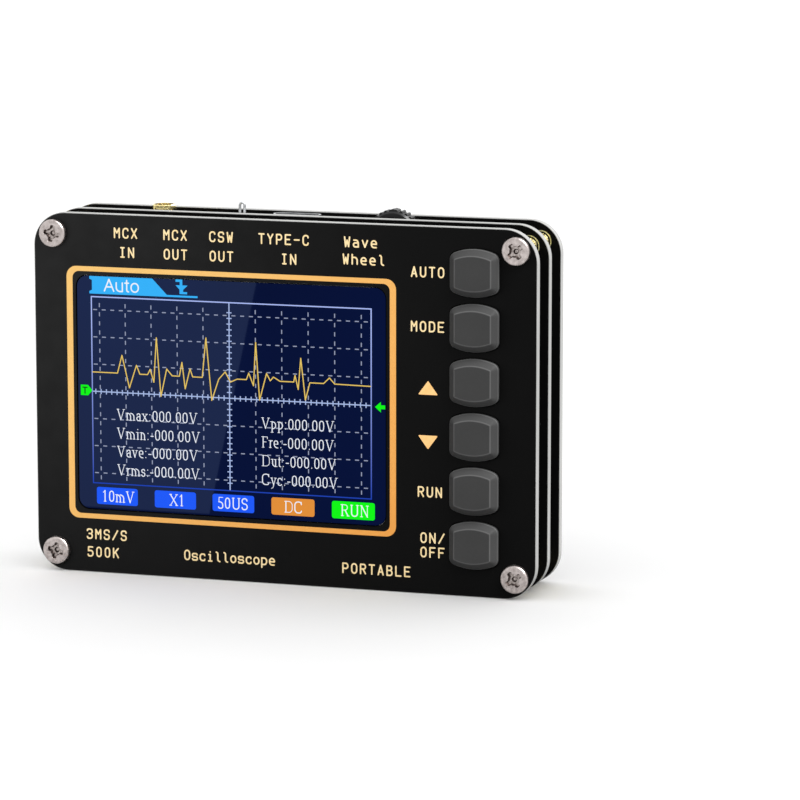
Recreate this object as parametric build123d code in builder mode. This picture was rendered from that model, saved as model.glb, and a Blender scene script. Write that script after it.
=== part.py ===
from build123d import *
import os
from math import cos, pi, sin

# Handheld oscilloscope: three circuit boards held apart by brass spacers. It stands on the boards'
# lower edges, the display faces -Y, +X is to the right of the display and +Z is up.

# ---------------------------------------------------------------- driving dimensions, mm
BOARD_W = 95.0
BOARD_H = 66.0
BOARD_T = 1.6
BOARD_CORNER_R = 6.0
SPACER_L = 6.0
HOLE_INSET = 3.8
HOLE_R = 1.4

THREAD_R = 1.22
THREAD_BORE_R = 1.25
SPACER_R = 1.5
KNURL_R = 1.65
KNURL_DEPTH = 0.2
KNURL_TEETH = 26
SPACER_COLLAR = 0.55
STUD_L = 2.4

HEAD_R = 2.55
HEAD_H = 1.15
HEAD_RIM_H = 0.6
HEAD_CROWN_R = 2.1
HEAD_CROWN_DROP = 0.1
RECESS_SPAN = 3.1
RECESS_ARM = 0.95
RECESS_CORE_R = 1.05
RECESS_DEPTH = 0.8
RECESS_TAPER = 16
RECESS_TIP_R = 0.5
RECESS_TIP_DEPTH = 0.4
FRONT_SHANK_L = 5.0
REAR_SHANK_L = 4.6
FRONT_TURNS = (-12.0, 38.0, -14.0, 36.0)
REAR_TURNS = (20.0, -33.0, 5.0, 61.0)

WINDOW_W = 59.25
WINDOW_H = 43.2
WINDOW_R = 2.2
WINDOW_LEFT = 8.0
WINDOW_TOP = 11.15
GLASS_GAP = 0.2
GLASS_T = 1.6
ADHESIVE_T = 0.2
ADHESIVE_MARGIN = 0.7
LCD_FRAME_W = 69.2
LCD_FRAME_H = 50.0
LCD_FRAME_T = 2.4
LCD_FRAME_LEFT = 5.6
LCD_LEDGE_W = 7.0
LCD_LEDGE_DROP = 0.5
FLEX_T = 0.2
FLEX_W = 24.0
FLEX_RUN = 0.4
FLEX_LAND = 6.5

KEY_W = 9.0
KEY_H = 8.6
KEY_SIDE_H = 6.4
KEY_CORNER_R = 1.35
KEY_PROUD = 1.6
KEY_CHAMFER_RISE = 1.1
KEY_CHAMFER_INSET = 1.15
KEY_GAP = 0.15
KEY_X = 83.6
KEY_FIRST = 7.97
KEY_PITCH = 9.73
KEY_FLANGE_W = 11.0
KEY_FLANGE_H = 6.0
KEY_FLANGE_T = 0.7
KEY_FLANGE_GAP = 0.2
KEY_BOSS_R = 1.9
KEY_NAMES = ("auto", "mode", "up", "down", "run", "power")

SWITCH_W = 6.0
SWITCH_BODY_H = 3.2
SWITCH_COVER_T = 0.3
SWITCH_WELL_R = 2.15
SWITCH_FLOOR = 0.8
PLUNGER_R = 1.75
PLUNGER_HOLE_R = 1.83
PLUNGER_TOP = 4.5
PLUNGER_FOOT = 2.1
PLUNGER_SKIRT_R = 2.05
PLUNGER_SKIRT_T = 0.7
DOME_R = 2.0
DOME_RISE = 0.75
DOME_T = 0.12
TERMINAL_W = 0.7
TERMINAL_SPACING = 4.5
TERMINAL_REACH = 1.0
TERMINAL_T = 0.2

JACK_BLOCK = 5.0
JACK_BLOCK_H = 4.0
JACK_WAIST_R = 2.0
JACK_R = 2.15
JACK_LIP_H = 1.6
JACK_BARREL_H = 4.8
JACK_BORE_R = 1.8
JACK_BORE_DEPTH = 3.6
JACK_SEAT_R = 1.5
JACK_SEAT_DEPTH = 7.2
JACK_FIT = 0.02
CONTACT_R = 0.5
CONTACT_BORE_R = 0.24
CONTACT_TAIL = 1.2
MCX_IN_X = 20.8
MCX_OUT_X = 27.4
MCX_IN_ABOVE = 0.8
MCX_OUT_ABOVE = -1.3

LOOP_X = 36.7
LOOP_WIRE_R = 0.25
LOOP_HALF = 0.45
LOOP_ABOVE = 2.1
LOOP_LEG_Z = 62.2
LOOP_Y_OFF = 0.45
LOOP_PAD_W = 2.4
LOOP_PAD_T = 0.8
LOOP_PAD_H = 1.5

USB_X = 46.8
USB_W = 8.94
USB_T = 3.26
USB_WALL = 0.3
USB_L = 7.3
USB_ABOVE = 0.0
USB_CORNER_R = 1.6
USB_BASE_H = 2.4
TONGUE_W = 6.69
TONGUE_T = 0.7
TONGUE_L = 4.3

JOG_X = 64.9
JOG_R = 4.7
JOG_ABOVE = 1.4
JOG_T = 2.8
JOG_RIBS = 30
JOG_RIB_R = 0.3
JOG_RIB_T = 2.2
JOG_NUB_R = 0.75
JOG_RIM_CHAMFER = 0.35
JOG_BORE_R = 0.8
JOG_AXLE_R = 0.74
JOG_BASE_W = 12.8
JOG_BASE_H = 9.6
JOG_BASE_BOTTOM = 54.8
JOG_WALL = 0.8
JOG_FLOOR_T = 0.8
JOG_SIDE_H = 6.7
JOG_SLIDER_GAP = 0.1
JOG_SLIDER_T = 0.5
JOG_SLIDER_H = 6.6
JOG_PRESS_ROOM = 0.8
JOG_LAYER_GAP = 0.2
JOG_COVER_T = 0.3
JOG_COVER_H = 5.8

CELL_W = 48.0
CELL_H = 36.0
CELL_T = 4.4
CELL_LEFT = 13.5
CELL_BOTTOM = 12.0
CELL_EDGE_R = 1.2
CELL_SEAL_L = 2.6
CELL_SEAL_T = 1.4
TAPE_T = 0.3
TAPE_MARGIN = 5.0
LEAD_R = 0.5
LEAD_BEND_R = 1.6

HEADER_X = 76.0
HEADER_Z = 30.0
HEADER_L = 5.4
HEADER_W = 6.0
HEADER_T = 3.4
HEADER_WALL = 0.6
PLUG_L = 4.6
PLUG_GAP = 0.1
PLUG_OUT = 1.6
LEAD_PITCH = 1.25

CHIP_BODIES = (
    (84.0, 42.0, 7.0, 7.0, 1.4),
    (84.5, 16.0, 4.9, 3.9, 1.5),
    (6.5, 49.0, 3.9, 4.9, 1.5),
    (6.5, 40.0, 3.9, 4.9, 1.5),
    (12.0, 55.0, 3.0, 1.6, 1.1),
    (75.0, 50.0, 3.0, 1.6, 1.1),
)
INDUCTOR_X = 75.5
INDUCTOR_Z = 14.0
INDUCTOR_R = 2.6
INDUCTOR_WAIST_R = 1.9
INDUCTOR_T = 2.4
CRYSTAL_X = 84.0
CRYSTAL_Z = 34.5
CRYSTAL_W = 5.0
CRYSTAL_H = 3.2
CRYSTAL_T = 1.1
PASSIVE_L = 1.6
PASSIVE_W = 0.8
PASSIVE_T = 0.7
PASSIVE_ROWS = (
    (6.5, 32.0, 4),
    (6.5, 24.0, 4),
    (76.0, 41.0, 3),
    (91.0, 40.0, 5),
    (84.0, 25.0, 3),
)
PASSIVE_PITCH = 1.9

# ---------------------------------------------------------------- places worked out from them
STACK_T = 3 * BOARD_T + 2 * SPACER_L
FRONT_Y = -STACK_T / 2
FRONT_BACK_Y = FRONT_Y + BOARD_T
MAIN_FRONT_Y = -BOARD_T / 2
MAIN_BACK_Y = BOARD_T / 2
REAR_FRONT_Y = MAIN_BACK_Y + SPACER_L
REAR_Y = REAR_FRONT_Y + BOARD_T
BOARD_MID_Z = BOARD_H / 2
LCD_MID_Z = BOARD_H - WINDOW_TOP - WINDOW_H / 2


def across(x):
    """X of a point given from the boards' left edge."""
    return x - BOARD_W / 2


def level(y):
    """Sketch plane at depth y: its own Y is up, and extrusion runs towards the viewer (-Y)."""
    return Plane.XZ.offset(-y)


def rearward(y):
    """Sketch plane at depth y whose extrusion runs away from the viewer (+Y)."""
    return Plane(origin=(0, y, 0), x_dir=(-1, 0, 0), z_dir=(0, 1, 0))


def save(piece, name):
    """Label a finished piece and write its STEP file."""
    piece.label = name
    export_step(piece, f"parts/{name}.step")


os.makedirs("parts", exist_ok=True)

SCREW_POINTS = [
    (side * (BOARD_W / 2 - HOLE_INSET), height)
    for height in (BOARD_H - HOLE_INSET, HOLE_INSET)
    for side in (-1, 1)
]
KEY_POINTS = [(across(KEY_X), BOARD_H - KEY_FIRST - i * KEY_PITCH) for i in range(len(KEY_NAMES))]
WINDOW_POINT = (across(WINDOW_LEFT + WINDOW_W / 2), LCD_MID_Z)
LCD_POINT = (across(LCD_FRAME_LEFT + LCD_FRAME_W / 2), LCD_MID_Z)


def key_outline(grow):
    """Key seen from the front: straight sides, bowed top and bottom, rounded corners."""
    half_w = KEY_W / 2 + grow
    half_side = KEY_SIDE_H / 2 + grow
    half_h = KEY_H / 2 + grow
    with BuildSketch() as outline:
        with BuildLine():
            Line((-half_w, -half_side), (-half_w, half_side))
            ThreePointArc((-half_w, half_side), (0, half_h), (half_w, half_side))
            Line((half_w, half_side), (half_w, -half_side))
            ThreePointArc((half_w, -half_side), (0, -half_h), (-half_w, -half_side))
        make_face()
        fillet(outline.vertices(), KEY_CORNER_R + grow)
    return outline.sketch


# ---------------------------------------------------------------- the three boards
KEY_OPENING = key_outline(KEY_GAP)

with BuildPart() as front_panel:
    with BuildSketch(level(FRONT_BACK_Y)):
        with Locations((0, BOARD_MID_Z)):
            RectangleRounded(BOARD_W, BOARD_H, BOARD_CORNER_R)
        with Locations(*SCREW_POINTS):
            Circle(HOLE_R, mode=Mode.SUBTRACT)
        with Locations(WINDOW_POINT):
            RectangleRounded(WINDOW_W, WINDOW_H, WINDOW_R, mode=Mode.SUBTRACT)
        with Locations(*KEY_POINTS):
            add(KEY_OPENING, mode=Mode.SUBTRACT)
    extrude(amount=BOARD_T)
save(front_panel.part, "front_panel")

for board_name, back_y in (("main_board", MAIN_BACK_Y), ("rear_panel", REAR_Y)):
    with BuildPart() as board:
        with BuildSketch(level(back_y)):
            with Locations((0, BOARD_MID_Z)):
                RectangleRounded(BOARD_W, BOARD_H, BOARD_CORNER_R)
            with Locations(*SCREW_POINTS):
                Circle(HOLE_R, mode=Mode.SUBTRACT)
        extrude(amount=BOARD_T)
    save(board.part, board_name)


# ---------------------------------------------------------------- screws and spacers
def pan_screw(shank_l):
    """Cross-recessed pan head screw: head towards -Y, its seat at Y = 0, shank towards +Y."""
    with BuildPart() as screw:
        with BuildSketch(Plane.XY):
            with BuildLine():
                Polyline((0, 0), (HEAD_R, 0), (HEAD_R, -HEAD_RIM_H))
                TangentArc(
                    (HEAD_R, -HEAD_RIM_H), (HEAD_CROWN_R, HEAD_CROWN_DROP - HEAD_H), tangent=(0, -1)
                )
                Polyline((HEAD_CROWN_R, HEAD_CROWN_DROP - HEAD_H), (0, -HEAD_H), (0, 0))
            make_face()
        revolve(axis=Axis.Y)
        with BuildSketch(rearward(-HEAD_H)) as recess:
            Rectangle(RECESS_SPAN, RECESS_ARM)
            Rectangle(RECESS_ARM, RECESS_SPAN)
            Circle(RECESS_CORE_R)
            fillet(recess.vertices(), RECESS_ARM / 6)
        extrude(amount=RECESS_DEPTH, taper=RECESS_TAPER, mode=Mode.SUBTRACT)
        with BuildSketch(rearward(RECESS_DEPTH - HEAD_H)):
            Circle(RECESS_TIP_R)
        extrude(amount=RECESS_TIP_DEPTH, taper=2 * RECESS_TAPER, mode=Mode.SUBTRACT)
        with BuildSketch(rearward(0)):
            Circle(THREAD_R)
        extrude(amount=shank_l)
        chamfer(screw.faces().sort_by(Axis.Y)[-1].edges(), THREAD_R / 4)
    return screw.part


def spacer(stud_l, through):
    """Knurled round spacer from Y = 0 to SPACER_L, with a stud past the far end or a through bore."""
    knurl_points = []
    for i in range(2 * KNURL_TEETH):
        r = KNURL_R - KNURL_DEPTH * (i % 2)
        turn = pi * i / KNURL_TEETH
        knurl_points.append((r * cos(turn), r * sin(turn)))
    with BuildPart() as body:
        with BuildSketch(rearward(0)):
            Circle(SPACER_R)
        extrude(amount=SPACER_L)
        with BuildSketch(rearward(SPACER_COLLAR)):
            Polygon(*knurl_points)
        extrude(amount=SPACER_L - 2 * SPACER_COLLAR)
        with BuildSketch(rearward(0)):
            Circle(THREAD_BORE_R)
        extrude(amount=SPACER_L if through else SPACER_L - STUD_L / 2, mode=Mode.SUBTRACT)
        if stud_l:
            with BuildSketch(rearward(SPACER_L)):
                Circle(THREAD_R)
            extrude(amount=stud_l)
    return body.part


FRONT_SCREW = pan_screw(FRONT_SHANK_L)
REAR_SCREW = pan_screw(REAR_SHANK_L)
FRONT_SPACER = spacer(BOARD_T + STUD_L, False)
REAR_SPACER = spacer(0, True)

with BuildPart() as front_screws:
    for (x, z), turn in zip(SCREW_POINTS, FRONT_TURNS):
        with Locations(Location((x, FRONT_Y, z), (0, -turn, 0))):
            add(FRONT_SCREW)
save(front_screws.part, "front_screws")

with BuildPart() as rear_screws:
    for (x, z), turn in zip(SCREW_POINTS, REAR_TURNS):
        with Locations(Location((x, REAR_Y, z), (180, turn, 0))):
            add(REAR_SCREW)
save(rear_screws.part, "rear_screws")

with BuildPart() as front_spacers:
    with Locations(*[(x, FRONT_BACK_Y, z) for x, z in SCREW_POINTS]):
        add(FRONT_SPACER)
save(front_spacers.part, "front_spacers")

with BuildPart() as rear_spacers:
    with Locations(*[(x, MAIN_BACK_Y, z) for x, z in SCREW_POINTS]):
        add(REAR_SPACER)
save(rear_spacers.part, "rear_spacers")

# ---------------------------------------------------------------- display module
GLASS_BACK_Y = FRONT_BACK_Y + ADHESIVE_T
LCD_FRAME_BACK_Y = GLASS_BACK_Y + LCD_FRAME_T

with BuildPart() as lcd_glass:
    with BuildSketch(level(GLASS_BACK_Y)):
        with Locations(WINDOW_POINT):
            RectangleRounded(WINDOW_W - 2 * GLASS_GAP, WINDOW_H - 2 * GLASS_GAP, WINDOW_R - GLASS_GAP)
    extrude(amount=GLASS_T)
save(lcd_glass.part, "lcd_glass")

with BuildPart() as lcd_adhesive:
    with BuildSketch(level(GLASS_BACK_Y)):
        with Locations(LCD_POINT):
            Rectangle(LCD_FRAME_W - ADHESIVE_MARGIN, LCD_FRAME_H - ADHESIVE_MARGIN)
        with Locations(WINDOW_POINT):
            RectangleRounded(
                WINDOW_W + ADHESIVE_MARGIN, WINDOW_H + ADHESIVE_MARGIN, WINDOW_R, mode=Mode.SUBTRACT
            )
    extrude(amount=ADHESIVE_T)
save(lcd_adhesive.part, "lcd_adhesive")

with BuildPart() as lcd_backlight_frame:
    with BuildSketch(level(LCD_FRAME_BACK_Y)):
        with Locations(LCD_POINT):
            RectangleRounded(LCD_FRAME_W, LCD_FRAME_H, 0.8)
    extrude(amount=LCD_FRAME_T)
    ledge_x = LCD_POINT[0] + LCD_FRAME_W / 2 - LCD_LEDGE_W / 2
    with BuildSketch(level(LCD_FRAME_BACK_Y)):
        with Locations((ledge_x, LCD_MID_Z)):
            Rectangle(LCD_LEDGE_W, FLEX_W + 4.0)
    extrude(amount=LCD_LEDGE_DROP, mode=Mode.SUBTRACT)
save(lcd_backlight_frame.part, "lcd_backlight_frame")

flex_start = Vector(LCD_POINT[0] + LCD_FRAME_W / 2, LCD_FRAME_BACK_Y - LCD_FRAME_T / 2)
flex_end_y = MAIN_FRONT_Y - FLEX_T / 2
flex_bend_r = (flex_end_y - flex_start.Y) / 2
flex_turn_x = flex_start.X + FLEX_RUN

with BuildPart() as lcd_flex:
    with BuildSketch(Plane.XY.offset(LCD_MID_Z - FLEX_W / 2)):
        with BuildLine():
            Line(flex_start, (flex_turn_x, flex_start.Y))
            ThreePointArc(
                (flex_turn_x, flex_start.Y),
                (flex_turn_x + flex_bend_r, flex_start.Y + flex_bend_r),
                (flex_turn_x, flex_end_y),
            )
            Line((flex_turn_x, flex_end_y), (flex_turn_x - FLEX_LAND, flex_end_y))
        trace(line_width=FLEX_T)
    extrude(amount=FLEX_W)
save(lcd_flex.part, "lcd_flex")

# ---------------------------------------------------------------- keys and their switches
KEY_FACE = key_outline(0)
FLANGE_FRONT_Y = FRONT_BACK_Y + KEY_FLANGE_GAP
FLANGE_BACK_Y = FLANGE_FRONT_Y + KEY_FLANGE_T
PLUNGER_TOP_Y = MAIN_FRONT_Y - PLUNGER_TOP
COVER_BACK_Y = MAIN_FRONT_Y - SWITCH_BODY_H

for key_name, (key_x, key_z) in zip(KEY_NAMES, KEY_POINTS):
    with BuildPart() as key_cap:
        with BuildSketch(level(FLANGE_FRONT_Y)):
            with Locations((key_x, key_z)):
                add(KEY_FACE)
        extrude(amount=FLANGE_FRONT_Y - FRONT_Y + KEY_PROUD)
        top_edges = key_cap.faces().sort_by(Axis.Y)[0].edges()
        chamfer(top_edges, KEY_CHAMFER_RISE, KEY_CHAMFER_INSET)
        with BuildSketch(level(FLANGE_BACK_Y)):
            with Locations((key_x, key_z)):
                RectangleRounded(KEY_FLANGE_W, KEY_FLANGE_H, 0.6)
        extrude(amount=KEY_FLANGE_T)
        with BuildSketch(level(PLUNGER_TOP_Y)):
            with Locations((key_x, key_z)):
                Circle(KEY_BOSS_R)
        extrude(amount=PLUNGER_TOP_Y - FLANGE_BACK_Y)
    save(key_cap.part, f"key_{key_name}")

    with BuildPart() as plunger:
        foot_y = MAIN_FRONT_Y - PLUNGER_FOOT
        with BuildSketch(level(foot_y)):
            with Locations((key_x, key_z)):
                Circle(PLUNGER_R)
        extrude(amount=PLUNGER_TOP - PLUNGER_FOOT)
        with BuildSketch(level(foot_y)):
            with Locations((key_x, key_z)):
                Circle(PLUNGER_SKIRT_R)
        extrude(amount=PLUNGER_SKIRT_T)
    save(plunger.part, f"plunger_{key_name}")

    with BuildPart() as switch_base:
        with BuildSketch(level(MAIN_FRONT_Y)):
            with Locations((key_x, key_z)):
                RectangleRounded(SWITCH_W, SWITCH_W, 0.4)
        extrude(amount=SWITCH_BODY_H)
        with BuildSketch(level(MAIN_FRONT_Y - SWITCH_FLOOR)):
            with Locations((key_x, key_z)):
                Circle(SWITCH_WELL_R)
        extrude(amount=SWITCH_BODY_H, mode=Mode.SUBTRACT)
    save(switch_base.part, f"switch_base_{key_name}")

    with BuildPart() as switch_cover:
        with BuildSketch(level(COVER_BACK_Y)):
            with Locations((key_x, key_z)):
                RectangleRounded(SWITCH_W, SWITCH_W, 0.4)
                Circle(PLUNGER_HOLE_R, mode=Mode.SUBTRACT)
        extrude(amount=SWITCH_COVER_T)
    save(switch_cover.part, f"switch_cover_{key_name}")

dome_sphere_r = (DOME_R**2 + DOME_RISE**2) / (2 * DOME_RISE)
dome_centre_y = MAIN_FRONT_Y - SWITCH_FLOOR + dome_sphere_r - DOME_RISE
with BuildPart() as dome:
    Sphere(dome_sphere_r)
    Sphere(dome_sphere_r - DOME_T, mode=Mode.SUBTRACT)
    split(bisect_by=Plane.XZ.offset(dome_sphere_r - DOME_RISE), keep=Keep.TOP)

with BuildPart() as snap_domes:
    with Locations(*[(x, dome_centre_y, z) for x, z in KEY_POINTS]):
        add(dome.part)
save(snap_domes.part, "snap_domes")

with BuildPart() as switch_terminals:
    for x, z in KEY_POINTS:
        for side in (-1, 1):
            for end in (-1, 1):
                at = (x + side * (SWITCH_W + TERMINAL_REACH) / 2, z + end * TERMINAL_SPACING / 2)
                with BuildSketch(level(MAIN_FRONT_Y)):
                    with Locations(at):
                        Rectangle(TERMINAL_REACH, TERMINAL_W)
                extrude(amount=TERMINAL_T)
save(switch_terminals.part, "switch_terminals")

# ---------------------------------------------------------------- coaxial jacks on the top edge
JACK_Y = MAIN_BACK_Y + JACK_BLOCK / 2

for jack_name, jack_x, above in (
    ("mcx_in", MCX_IN_X, MCX_IN_ABOVE),
    ("mcx_out", MCX_OUT_X, MCX_OUT_ABOVE),
):
    axis_x = across(jack_x)
    mouth_z = BOARD_H + above
    block_top_z = mouth_z - JACK_BARREL_H
    seat_z = mouth_z - JACK_BORE_DEPTH
    seat_bottom_z = mouth_z - JACK_SEAT_DEPTH

    with BuildPart() as jack:
        with BuildSketch(Plane.XY.offset(block_top_z - JACK_BLOCK_H)):
            with Locations((axis_x, JACK_Y)):
                RectangleRounded(JACK_BLOCK, JACK_BLOCK, 0.4)
        extrude(amount=JACK_BLOCK_H)
        with BuildSketch(Plane.XY.offset(block_top_z)):
            with Locations((axis_x, JACK_Y)):
                Circle(JACK_WAIST_R)
        extrude(amount=JACK_BARREL_H)
        with BuildSketch(Plane.XY.offset(mouth_z - JACK_LIP_H)):
            with Locations((axis_x, JACK_Y)):
                Circle(JACK_R)
        extrude(amount=JACK_LIP_H)
        chamfer(jack.edges().filter_by(GeomType.CIRCLE).group_by(Axis.Z)[-1], 0.15)
        with BuildSketch(Plane.XY.offset(seat_z)):
            with Locations((axis_x, JACK_Y)):
                Circle(JACK_BORE_R)
        extrude(amount=JACK_BORE_DEPTH, mode=Mode.SUBTRACT)
        with BuildSketch(Plane.XY.offset(seat_bottom_z)):
            with Locations((axis_x, JACK_Y)):
                Circle(JACK_SEAT_R)
        extrude(amount=JACK_SEAT_DEPTH - JACK_BORE_DEPTH, mode=Mode.SUBTRACT)
    save(jack.part, f"{jack_name}_jack")

    with BuildPart() as insulator:
        with BuildSketch(Plane.XY.offset(seat_bottom_z)):
            with Locations((axis_x, JACK_Y)):
                Circle(JACK_SEAT_R - JACK_FIT)
                Circle(CONTACT_R + JACK_FIT, mode=Mode.SUBTRACT)
        extrude(amount=JACK_SEAT_DEPTH - JACK_BORE_DEPTH)
    save(insulator.part, f"{jack_name}_insulator")

    with BuildPart() as contact:
        with BuildSketch(Plane.XY.offset(seat_bottom_z)):
            with Locations((axis_x, JACK_Y)):
                Circle(CONTACT_R)
        extrude(amount=JACK_SEAT_DEPTH - JACK_BORE_DEPTH)
        with BuildSketch(Plane.XY.offset(seat_z - CONTACT_TAIL)):
            with Locations((axis_x, JACK_Y)):
                Circle(CONTACT_BORE_R)
        extrude(amount=CONTACT_TAIL, mode=Mode.SUBTRACT)
    save(contact.part, f"{jack_name}_contact")

# ---------------------------------------------------------------- calibration output loop
loop_x = across(LOOP_X)
loop_y = MAIN_BACK_Y + LOOP_Y_OFF
loop_turn_z = BOARD_H + LOOP_ABOVE - LOOP_WIRE_R - LOOP_HALF

with BuildPart() as csw_out_loop:
    with BuildLine() as loop_line:
        Line((loop_x - LOOP_HALF, loop_y, LOOP_LEG_Z), (loop_x - LOOP_HALF, loop_y, loop_turn_z))
        ThreePointArc(
            (loop_x - LOOP_HALF, loop_y, loop_turn_z),
            (loop_x, loop_y, loop_turn_z + LOOP_HALF),
            (loop_x + LOOP_HALF, loop_y, loop_turn_z),
        )
        Line((loop_x + LOOP_HALF, loop_y, loop_turn_z), (loop_x + LOOP_HALF, loop_y, LOOP_LEG_Z))
    with BuildSketch(Plane.XY.offset(LOOP_LEG_Z)):
        with Locations((loop_x - LOOP_HALF, loop_y)):
            Circle(LOOP_WIRE_R)
    sweep(path=loop_line.line)
    with BuildSketch(level(MAIN_BACK_Y + LOOP_PAD_T)):
        with Locations((loop_x, LOOP_LEG_Z + LOOP_PAD_H / 2)):
            RectangleRounded(LOOP_PAD_W, LOOP_PAD_H, 0.3)
    extrude(amount=LOOP_PAD_T)
save(csw_out_loop.part, "csw_out_loop")

# ---------------------------------------------------------------- USB-C receptacle
usb_point = (across(USB_X), MAIN_BACK_Y + USB_T / 2)
usb_bottom_z = BOARD_H + USB_ABOVE - USB_L

with BuildPart() as usb_c_shell:
    with BuildSketch(Plane.XY.offset(usb_bottom_z)):
        with Locations(usb_point):
            RectangleRounded(USB_W, USB_T, USB_CORNER_R)
            RectangleRounded(
                USB_W - 2 * USB_WALL,
                USB_T - 2 * USB_WALL,
                USB_CORNER_R - USB_WALL,
                mode=Mode.SUBTRACT,
            )
    extrude(amount=USB_L)
save(usb_c_shell.part, "usb_c_shell")

with BuildPart() as usb_c_tongue:
    with BuildSketch(Plane.XY.offset(usb_bottom_z)):
        with Locations(usb_point):
            RectangleRounded(
                USB_W - 2 * USB_WALL - JACK_FIT,
                USB_T - 2 * USB_WALL - JACK_FIT,
                USB_CORNER_R - USB_WALL - JACK_FIT,
            )
    extrude(amount=USB_BASE_H)
    with BuildSketch(Plane.XY.offset(usb_bottom_z + USB_BASE_H)):
        with Locations(usb_point):
            Rectangle(TONGUE_W, TONGUE_T)
    extrude(amount=TONGUE_L)
    chamfer(usb_c_tongue.faces().sort_by(Axis.Z)[-1].edges().filter_by(Axis.X), 0.2)
save(usb_c_tongue.part, "usb_c_tongue")

# ---------------------------------------------------------------- jog wheel on the top edge
jog_x = across(JOG_X)
jog_z = BOARD_H + JOG_ABOVE - JOG_R - JOG_RIB_R
jog_floor_y = MAIN_BACK_Y + JOG_FLOOR_T
slider_back_y = jog_floor_y + JOG_SLIDER_GAP
slider_front_y = slider_back_y + JOG_SLIDER_T
wheel_back_y = slider_front_y + JOG_LAYER_GAP
wheel_front_y = wheel_back_y + JOG_T
cover_y = wheel_front_y + JOG_LAYER_GAP
jog_inner_w = JOG_BASE_W - 2 * JOG_WALL

with BuildPart() as jog_base:
    with BuildSketch(rearward(MAIN_BACK_Y)):
        with Locations((-jog_x, JOG_BASE_BOTTOM + JOG_BASE_H / 2)):
            Rectangle(JOG_BASE_W, JOG_BASE_H)
    extrude(amount=JOG_FLOOR_T)
    with BuildSketch(rearward(jog_floor_y)):
        with Locations((-jog_x, JOG_BASE_BOTTOM + JOG_SIDE_H / 2)):
            Rectangle(JOG_BASE_W, JOG_SIDE_H)
        with Locations((-jog_x, JOG_BASE_BOTTOM + JOG_WALL + JOG_SIDE_H / 2)):
            Rectangle(jog_inner_w, JOG_SIDE_H, mode=Mode.SUBTRACT)
    extrude(amount=cover_y - jog_floor_y)
save(jog_base.part, "jog_base")

slider_bottom_z = JOG_BASE_BOTTOM + JOG_WALL + JOG_PRESS_ROOM
with BuildPart() as jog_slider:
    with BuildSketch(rearward(slider_back_y)):
        with Locations((-jog_x, slider_bottom_z + JOG_SLIDER_H / 2)):
            Rectangle(jog_inner_w - 2 * JOG_SLIDER_GAP, JOG_SLIDER_H)
    extrude(amount=JOG_SLIDER_T)
    with BuildSketch(rearward(slider_front_y)):
        with Locations((-jog_x, jog_z)):
            Circle(JOG_AXLE_R)
    extrude(amount=wheel_front_y - slider_front_y + JOG_LAYER_GAP / 2)
save(jog_slider.part, "jog_slider")

with BuildPart() as jog_wheel:
    with BuildSketch(rearward(wheel_back_y)):
        with Locations((-jog_x, jog_z)):
            Circle(JOG_R)
    extrude(amount=JOG_T)
    chamfer(jog_wheel.edges().filter_by(GeomType.CIRCLE), JOG_RIM_CHAMFER)
    with BuildSketch(rearward(wheel_back_y + (JOG_T - JOG_RIB_T) / 2)):
        with Locations((-jog_x, jog_z)):
            with PolarLocations(JOG_R, JOG_RIBS):
                Circle(JOG_RIB_R)
        with Locations((-jog_x, jog_z + JOG_R - JOG_NUB_R / 2)):
            Circle(JOG_NUB_R)
    extrude(amount=JOG_RIB_T)
    with BuildSketch(rearward(wheel_back_y)):
        with Locations((-jog_x, jog_z)):
            Circle(JOG_BORE_R)
    extrude(amount=JOG_T, mode=Mode.SUBTRACT)
save(jog_wheel.part, "jog_wheel")

with BuildPart() as jog_cover:
    with BuildSketch(rearward(cover_y)):
        with Locations((-jog_x, JOG_BASE_BOTTOM + JOG_COVER_H / 2)):
            Rectangle(JOG_BASE_W, JOG_COVER_H)
    extrude(amount=JOG_COVER_T)
save(jog_cover.part, "jog_cover")

# ---------------------------------------------------------------- battery, leads and plug
cell_back_y = REAR_FRONT_Y - TAPE_T
cell_mid_x = across(CELL_LEFT + CELL_W / 2)
cell_mid_z = CELL_BOTTOM + CELL_H / 2
cell_end_x = cell_mid_x + CELL_W / 2
cell_mid_y = cell_back_y - CELL_T / 2

with BuildPart() as battery_cell:
    with BuildSketch(Plane.YZ.offset(cell_mid_x - CELL_W / 2)):
        with Locations((cell_mid_y, cell_mid_z)):
            RectangleRounded(CELL_T, CELL_H, CELL_EDGE_R)
    extrude(amount=CELL_W)
    fillet(battery_cell.edges().filter_by(Axis.X, reverse=True).group_by(Axis.X)[0], 0.5)
    with BuildSketch(Plane.YZ.offset(cell_end_x)):
        with Locations((cell_mid_y, cell_mid_z)):
            Rectangle(CELL_SEAL_T, CELL_H - 4 * CELL_EDGE_R)
    extrude(amount=CELL_SEAL_L)
save(battery_cell.part, "battery_cell")

with BuildPart() as battery_tape:
    with BuildSketch(level(REAR_FRONT_Y)):
        with Locations((cell_mid_x, cell_mid_z)):
            Rectangle(CELL_W - 2 * TAPE_MARGIN, CELL_H - 2 * TAPE_MARGIN)
    extrude(amount=TAPE_T)
save(battery_tape.part, "battery_tape")

header_x = across(HEADER_X)
header_mid_y = MAIN_BACK_Y + HEADER_T / 2

with BuildPart() as battery_header:
    with BuildSketch(Plane.YZ.offset(header_x - HEADER_L / 2)):
        with Locations((header_mid_y, HEADER_Z)):
            Rectangle(HEADER_T, HEADER_W)
    extrude(amount=HEADER_L)
    with BuildSketch(Plane.YZ.offset(header_x - HEADER_L / 2)):
        with Locations((header_mid_y, HEADER_Z)):
            Rectangle(HEADER_T - 2 * HEADER_WALL, HEADER_W - 2 * HEADER_WALL)
    extrude(amount=HEADER_L - HEADER_WALL, mode=Mode.SUBTRACT)
save(battery_header.part, "battery_header")

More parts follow.
